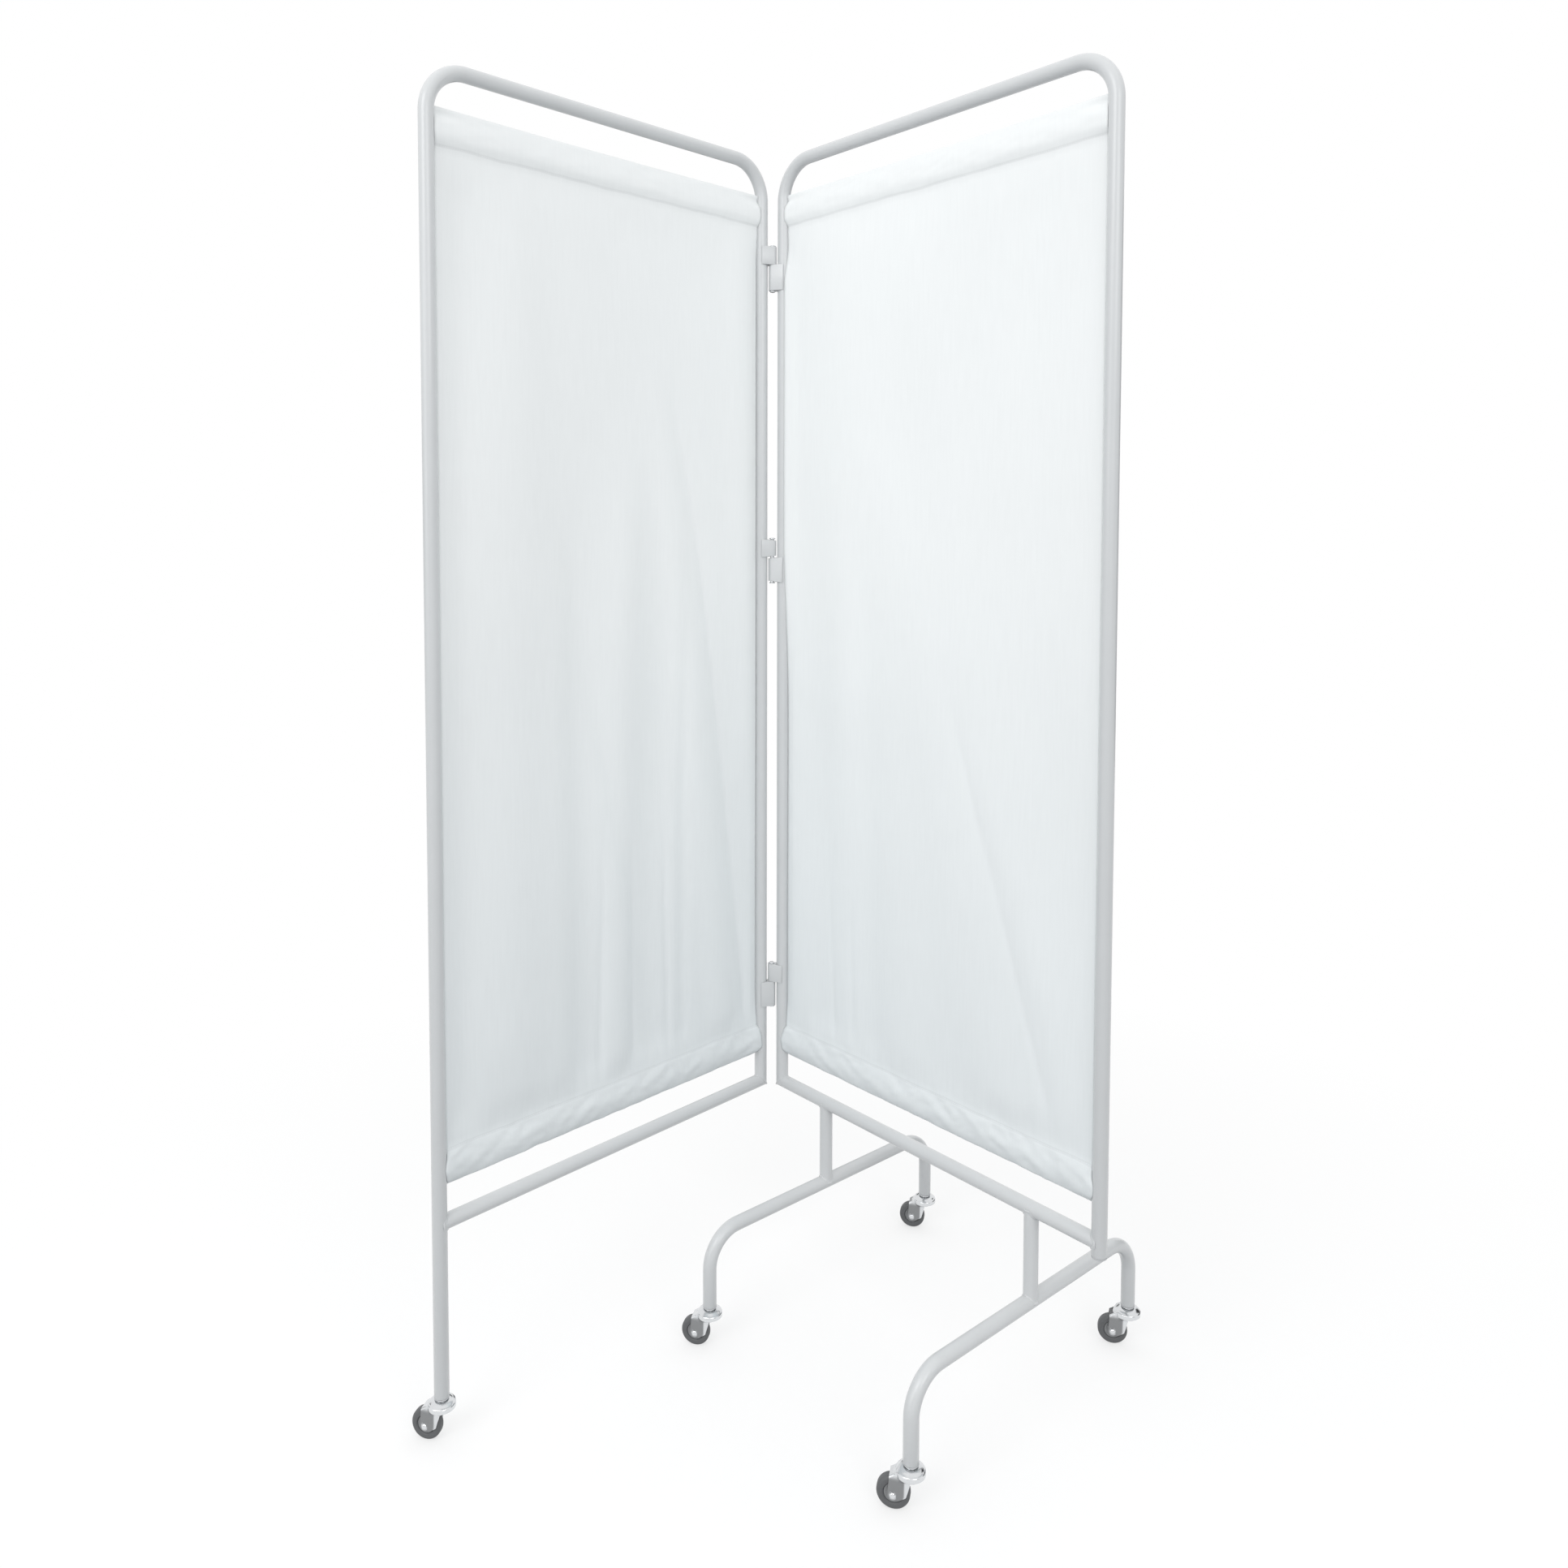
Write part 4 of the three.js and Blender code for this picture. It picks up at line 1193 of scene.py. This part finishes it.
def fork_lines():
    """The lines that the fork's half sheet is laid between, each from the hood to the front.

    They are the ridge on the middle plane, with the edge of the stem's hole, the rim round the
    top, and the lower edge of a leg, which ends at the rim's last leg column.
    """
    half_turn = math.radians(180)
    ridge = [(HOOD_END, 0), (STEM_HOLE, 0)]
    ridge += arc_points((0, 0), STEM_HOLE, 0, half_turn, 24)
    rim = [(HOOD_END, FORK_HALF_WIDTH), (18.5 * MM, FORK_HALF_WIDTH), (16 * MM, 9.6 * MM)]
    rim += arc_points((0, 0), CROWN_RADIUS, math.radians(41), half_turn, 40)
    rim = [share_along(rim, column / FORK_COLUMNS) for column in range(FORK_COLUMNS + 1)]
    legs = next(column for column, place in enumerate(rim) if place.x < -7.4 * MM)
    eye = (CASTER_TRAIL, AXLE_HEIGHT)
    lower = arc_points(eye, FORK_EYE, math.radians(5), math.radians(-135), 18)
    lower += [(14 * MM, 14.3 * MM), (9 * MM, 17 * MM), (front_edge(19.7 * MM), 19.7 * MM)]
    lower += [(front_edge(40 * MM), 40 * MM), (-4.6 * MM, 43.6 * MM), (rim[legs].x, SKIRT_END)]
    return ridge, rim, legs, lower


def thickened(bm, thickness):
    """Gives an open sheet a wall on its inner side, and closes its edges."""
    bmesh.ops.remove_doubles(bm, verts=bm.verts, dist=MERGE)
    bmesh.ops.recalc_face_normals(bm, faces=bm.faces)
    if max(bm.faces, key=lambda face: face.calc_center_median().z).normal.z < 0:
        bmesh.ops.reverse_faces(bm, faces=bm.faces)
    bm.normal_update()
    inner = bmesh.ops.extrude_face_region(bm, geom=bm.faces, use_keep_orig=True)["geom"]
    for vert in verts_of(inner):
        vert.co -= vert.normal * thickness


def build_fork():
    """The pressed fork. Half of its sheet is a grid laid over the top, round the rim and down."""
    ridge, rim, legs, lower = fork_lines()
    rows = FORK_OVER + FORK_ROUND + FORK_DOWN
    bm = bmesh.new()
    bmesh.ops.create_grid(bm, x_segments=FORK_COLUMNS, y_segments=rows, size=0.5)
    # Per vertex, how much painted shade and roughness the zinc gets there
    painted_dark_and_rough = bm.verts.layers.float.new("painted_dark_and_rough")
    for vert in bm.verts:
        column = round((vert.co.x + 0.5) * FORK_COLUMNS)
        row = round((vert.co.y + 0.5) * rows)
        way = rim[min(column + 1, FORK_COLUMNS)] - rim[max(column - 1, 0)]
        outward = Vector((way.y, -way.x)).normalized()
        if column == FORK_COLUMNS:
            outward = Vector((-1, 0))
        shoulder = rim[column] - outward * SHOULDER
        top = fork_top(*shoulder)
        if row <= FORK_OVER:
            on_ridge = share_along(ridge, column / FORK_COLUMNS)
            place = on_ridge.lerp(shoulder, row / FORK_OVER)
            vert.co = (*place, fork_top(*place))
        elif row <= FORK_OVER + FORK_ROUND:
            turn = math.radians(90) * (row - FORK_OVER) / FORK_ROUND
            place = shoulder + outward * SHOULDER * math.sin(turn)
            vert.co = (*place, top - SHOULDER * (1 - math.cos(turn)))
        else:
            fall = ((row - FORK_OVER - FORK_ROUND) / FORK_DOWN) ** FORK_DOWN_POWER
            start = Vector((rim[column].x, top - SHOULDER))
            if column < legs:
                x, z = start.lerp(share_along(lower, column / legs), fall)
                y, vert[painted_dark_and_rough] = leg_wall(x, z)
                vert.co = (x, y, z)
            else:
                vert.co = (*rim[column], start.y + (SKIRT_END - start.y) * fall)
    other = bm.copy()
    bmesh.ops.scale(other, vec=(1, -1, 1), verts=other.verts)
    add_into(bm, other)
    thickened(bm, FORK_SHEET)
    return bm


def build_caster(name):
    """One caster, drawn with its stem on Z and then set in its place."""
    sides = bpy.context.scene.screen_casters.sides
    low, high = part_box(f"{name}_caster_socket")
    stem = (low + high) / 2
    space = Matrix.Translation((stem.x, stem.y, 0)) @ Matrix.Rotation(CASTER_ANGLE, 4, "Z")
    on_axle = Matrix.Translation((CASTER_TRAIL, 0, AXLE_HEIGHT)) @ turn_by(90, "X")
    tyre = turned(both_sides(TYRE), sides, 1.5 * MM, 4)
    hub = turned(both_sides(HUB), sides, 0.9 * MM)
    axle = turned(both_sides(AXLE), 32, 0.7 * MM)
    for bm in (tyre, hub, axle):
        bmesh.ops.transform(bm, matrix=on_axle, verts=bm.verts)
    caster, wheel = f"{name}_caster", f"{name}_wheel"
    panel = "wing_panel" if name == "wing" else "braced_panel"
    for piece, bm, body, slot, stands_for in (
        ("fork", build_fork(), caster, "zinc_plate", "caster_fork"),
        ("tyre", tyre, wheel, "tyre_rubber", "wheel_tyre"),
        ("hub", hub, wheel, "wheel_plastic", "wheel_hub"),
        ("axle", axle, caster, "zinc_plate", "caster_axle"),
        ("socket", turned(SOCKET, 48, 0.3 * MM, 2), panel, "socket_plastic", "caster_socket"),
        ("stem", turned(STEM, 40, 0.4 * MM, 2), panel, "zinc_plate", "caster_stem"),
    ):
        finished(f"{name}_{piece}", bm, space, body, slot, f"{name}_{stands_for}")


class SCREEN_OT_casters(bpy.types.Operator):
    """Builds the five swivel casters"""

    bl_idname = "screen.casters"
    bl_label = "Casters"

    def execute(self, context):
        for name in ("outer_front", "outer_rear", "inner_front", "inner_rear", "wing"):
            build_caster(name)
        return {"FINISHED"}


# Studio


def staged(name, bm, material):
    """Makes an object of the set, which isn't part of the screen."""
    mesh = bpy.data.meshes.new(name)
    bm.to_mesh(mesh)
    bm.free()
    mesh.materials.append(material)
    piece = bpy.data.objects.new(name, mesh)
    bpy.context.scene.collection.objects.link(piece)
    return piece


def mixed(tree, factor, first, second):
    """A shader mixed from two others."""
    return node(tree, "MixShader", {"Fac": factor, 1: first.outputs[0], 2: second.outputs[0]})


def seen_directly(tree):
    """1 for rays from the camera or off metal and glass, and 0 for light on the object."""
    path = node(tree, "LightPath").outputs
    seen = maths(tree, "MAXIMUM", path["Is Camera Ray"], path["Is Glossy Ray"])
    return maths(tree, "MAXIMUM", seen, path["Is Transmission Ray"])


def white_surround():
    """A world that is seen as white, and lights the object a little less."""
    world = bpy.data.worlds.new("studio surround")
    bpy.context.scene.world = world
    world.use_nodes = True
    tree = world.node_tree
    tree.nodes.clear()
    fill = node(tree, "Background", {"Color": (0.985, 0.995, 1, 1), "Strength": 0.94})
    seen = node(tree, "Background", {"Color": (1, 1, 1, 1)})
    sky = mixed(tree, seen_directly(tree), fill, seen)
    node(tree, "OutputWorld", {"Surface": sky.outputs[0]})


def floor_finish():
    """A floor that shows a shadow near the object and white far off, and throws back little."""
    material = bpy.data.materials.new("studio floor")
    material.use_nodes = True
    tree = material.node_tree
    tree.nodes.clear()
    white = node(tree, "Emission", {"Color": (1, 1, 1, 1)})
    lit = node(tree, "BsdfDiffuse", {"Color": (0.93, 0.93, 0.93, 1)})
    dim = node(tree, "BsdfDiffuse", {"Color": (0.36, 0.37, 0.38, 1)})
    place = {0: node(tree, "TexCoord").outputs["Object"]}
    away = node(tree, "VectorMath", place, operation="LENGTH").outputs["Value"]
    shown = mixed(tree, ramp(tree, away, 0.6, 1.6, 0.62, 1.0), lit, white)
    floor = mixed(tree, seen_directly(tree), dim, shown)
    node(tree, "OutputMaterial", {"Surface": floor.outputs[0]})
    return material


def soft_lamp(name, place, size, strength):
    """A round lamp aimed at the middle of the screen."""
    light = bpy.data.lights.new(name, "AREA")
    light.shape = "DISK"
    light.size = size
    light.energy = strength * bpy.context.scene.screen_studio.light
    lamp = bpy.data.objects.new(name, light)
    lamp.location = place
    lamp.rotation_euler = (Vector((0, 0, 1)) - Vector(place)).to_track_quat("-Z", "Y").to_euler()
    bpy.context.scene.collection.objects.link(lamp)


def dark_flags():
    """Dark cards round the set that only gloss shows, so that bright metal has a contrast."""
    material, tree, shader = new_finish("studio flag")
    feed(tree, shader, {"Base Color": (0.02, 0.02, 0.022, 1), "Roughness": 0.9})
    bm = bmesh.new()
    stand = Matrix.Translation((0, -3.6, 0.9)) @ turn_by(90, "X")
    for degrees, half in ((20, 0.55), (92, 0.55), (160, 1.5), (232, 0.55), (304, 0.55)):
        card = turn_by(degrees, "Z") @ stand
        bmesh.ops.create_grid(bm, x_segments=1, y_segments=1, size=half, matrix=card)
    flags = staged("studio_flags", bm, material)
    for kind in ("camera", "diffuse", "transmission", "shadow"):
        setattr(flags, f"visible_{kind}", False)


def set_camera(scene):
    """The camera as it was fitted to the tubes in the photo, with less shift."""
    data = bpy.data.cameras.new("camera")
    data.sensor_width = 36
    data.lens = scene.screen_studio.lens
    data.shift_x = 0.0318
    data.shift_y = -0.12
    data.clip_start = 0.05
    data.clip_end = 60
    camera = bpy.data.objects.new("camera", data)
    camera.location = (1.106, -1.064, 1.136)
    camera.rotation_euler = (math.radians(90 - 2.88), 0, math.radians(50.09))
    scene.collection.objects.link(camera)
    scene.camera = camera


class SCREEN_OT_stage(bpy.types.Operator):
    """Sets up the floor, the soft studio light and the camera"""

    bl_idname = "screen.stage"
    bl_label = "Studio"

    def execute(self, context):
        context.scene.view_settings.view_transform = "Standard"
        white_surround()
        bm = bmesh.new()
        bmesh.ops.create_circle(bm, cap_ends=True, segments=96, radius=14)
        staged("studio_floor", bm, floor_finish())
        soft_lamp("key", (0.7, -3.0, 3.0), 2.0, 30)
        soft_lamp("side", (3.0, -0.9, 2.3), 1.8, 18)
        soft_lamp("front", (0, -3.4, 1.4), 1.8, 10)
        dark_flags()
        set_camera(context.scene)
        return {"FINISHED"}


# Panel and registration


STEPS = [
    SCREEN_OT_stage,
    SCREEN_OT_frames,
    SCREEN_OT_feet,
    SCREEN_OT_hinges,
    SCREEN_OT_curtains,
    SCREEN_OT_casters,
]


class SCREEN_PT_sidebar(bpy.types.Panel):
    """Lists the pieces of the ward screen"""

    bl_idname = "SCREEN_PT_sidebar"
    bl_label = "Ward screen"
    bl_space_type = "VIEW_3D"
    bl_region_type = "UI"
    bl_category = "Ward screen"

    def draw(self, context):
        for step in STEPS:
            self.layout.operator(step.bl_idname)
        for name, kind in SETTINGS.items():
            column = self.layout.column(align=True)
            for setting in kind.__annotations__:
                column.prop(getattr(context.scene, name), setting)


def register():
    for name, kind in SETTINGS.items():
        bpy.utils.register_class(kind)
        setattr(bpy.types.Scene, name, bpy.props.PointerProperty(type=kind))
    for kind in [*STEPS, SCREEN_PT_sidebar]:
        bpy.utils.register_class(kind)


def unregister():
    for kind in reversed([*STEPS, SCREEN_PT_sidebar]):
        bpy.utils.unregister_class(kind)
    for name, kind in SETTINGS.items():
        delattr(bpy.types.Scene, name)
        bpy.utils.unregister_class(kind)


def main():
    register()
    bpy.ops.screen.stage()
    bpy.ops.screen.frames()
    bpy.ops.screen.feet()
    bpy.ops.screen.hinges()
    bpy.ops.screen.curtains()
    bpy.ops.screen.casters()


if __name__ == "__main__":
    main()
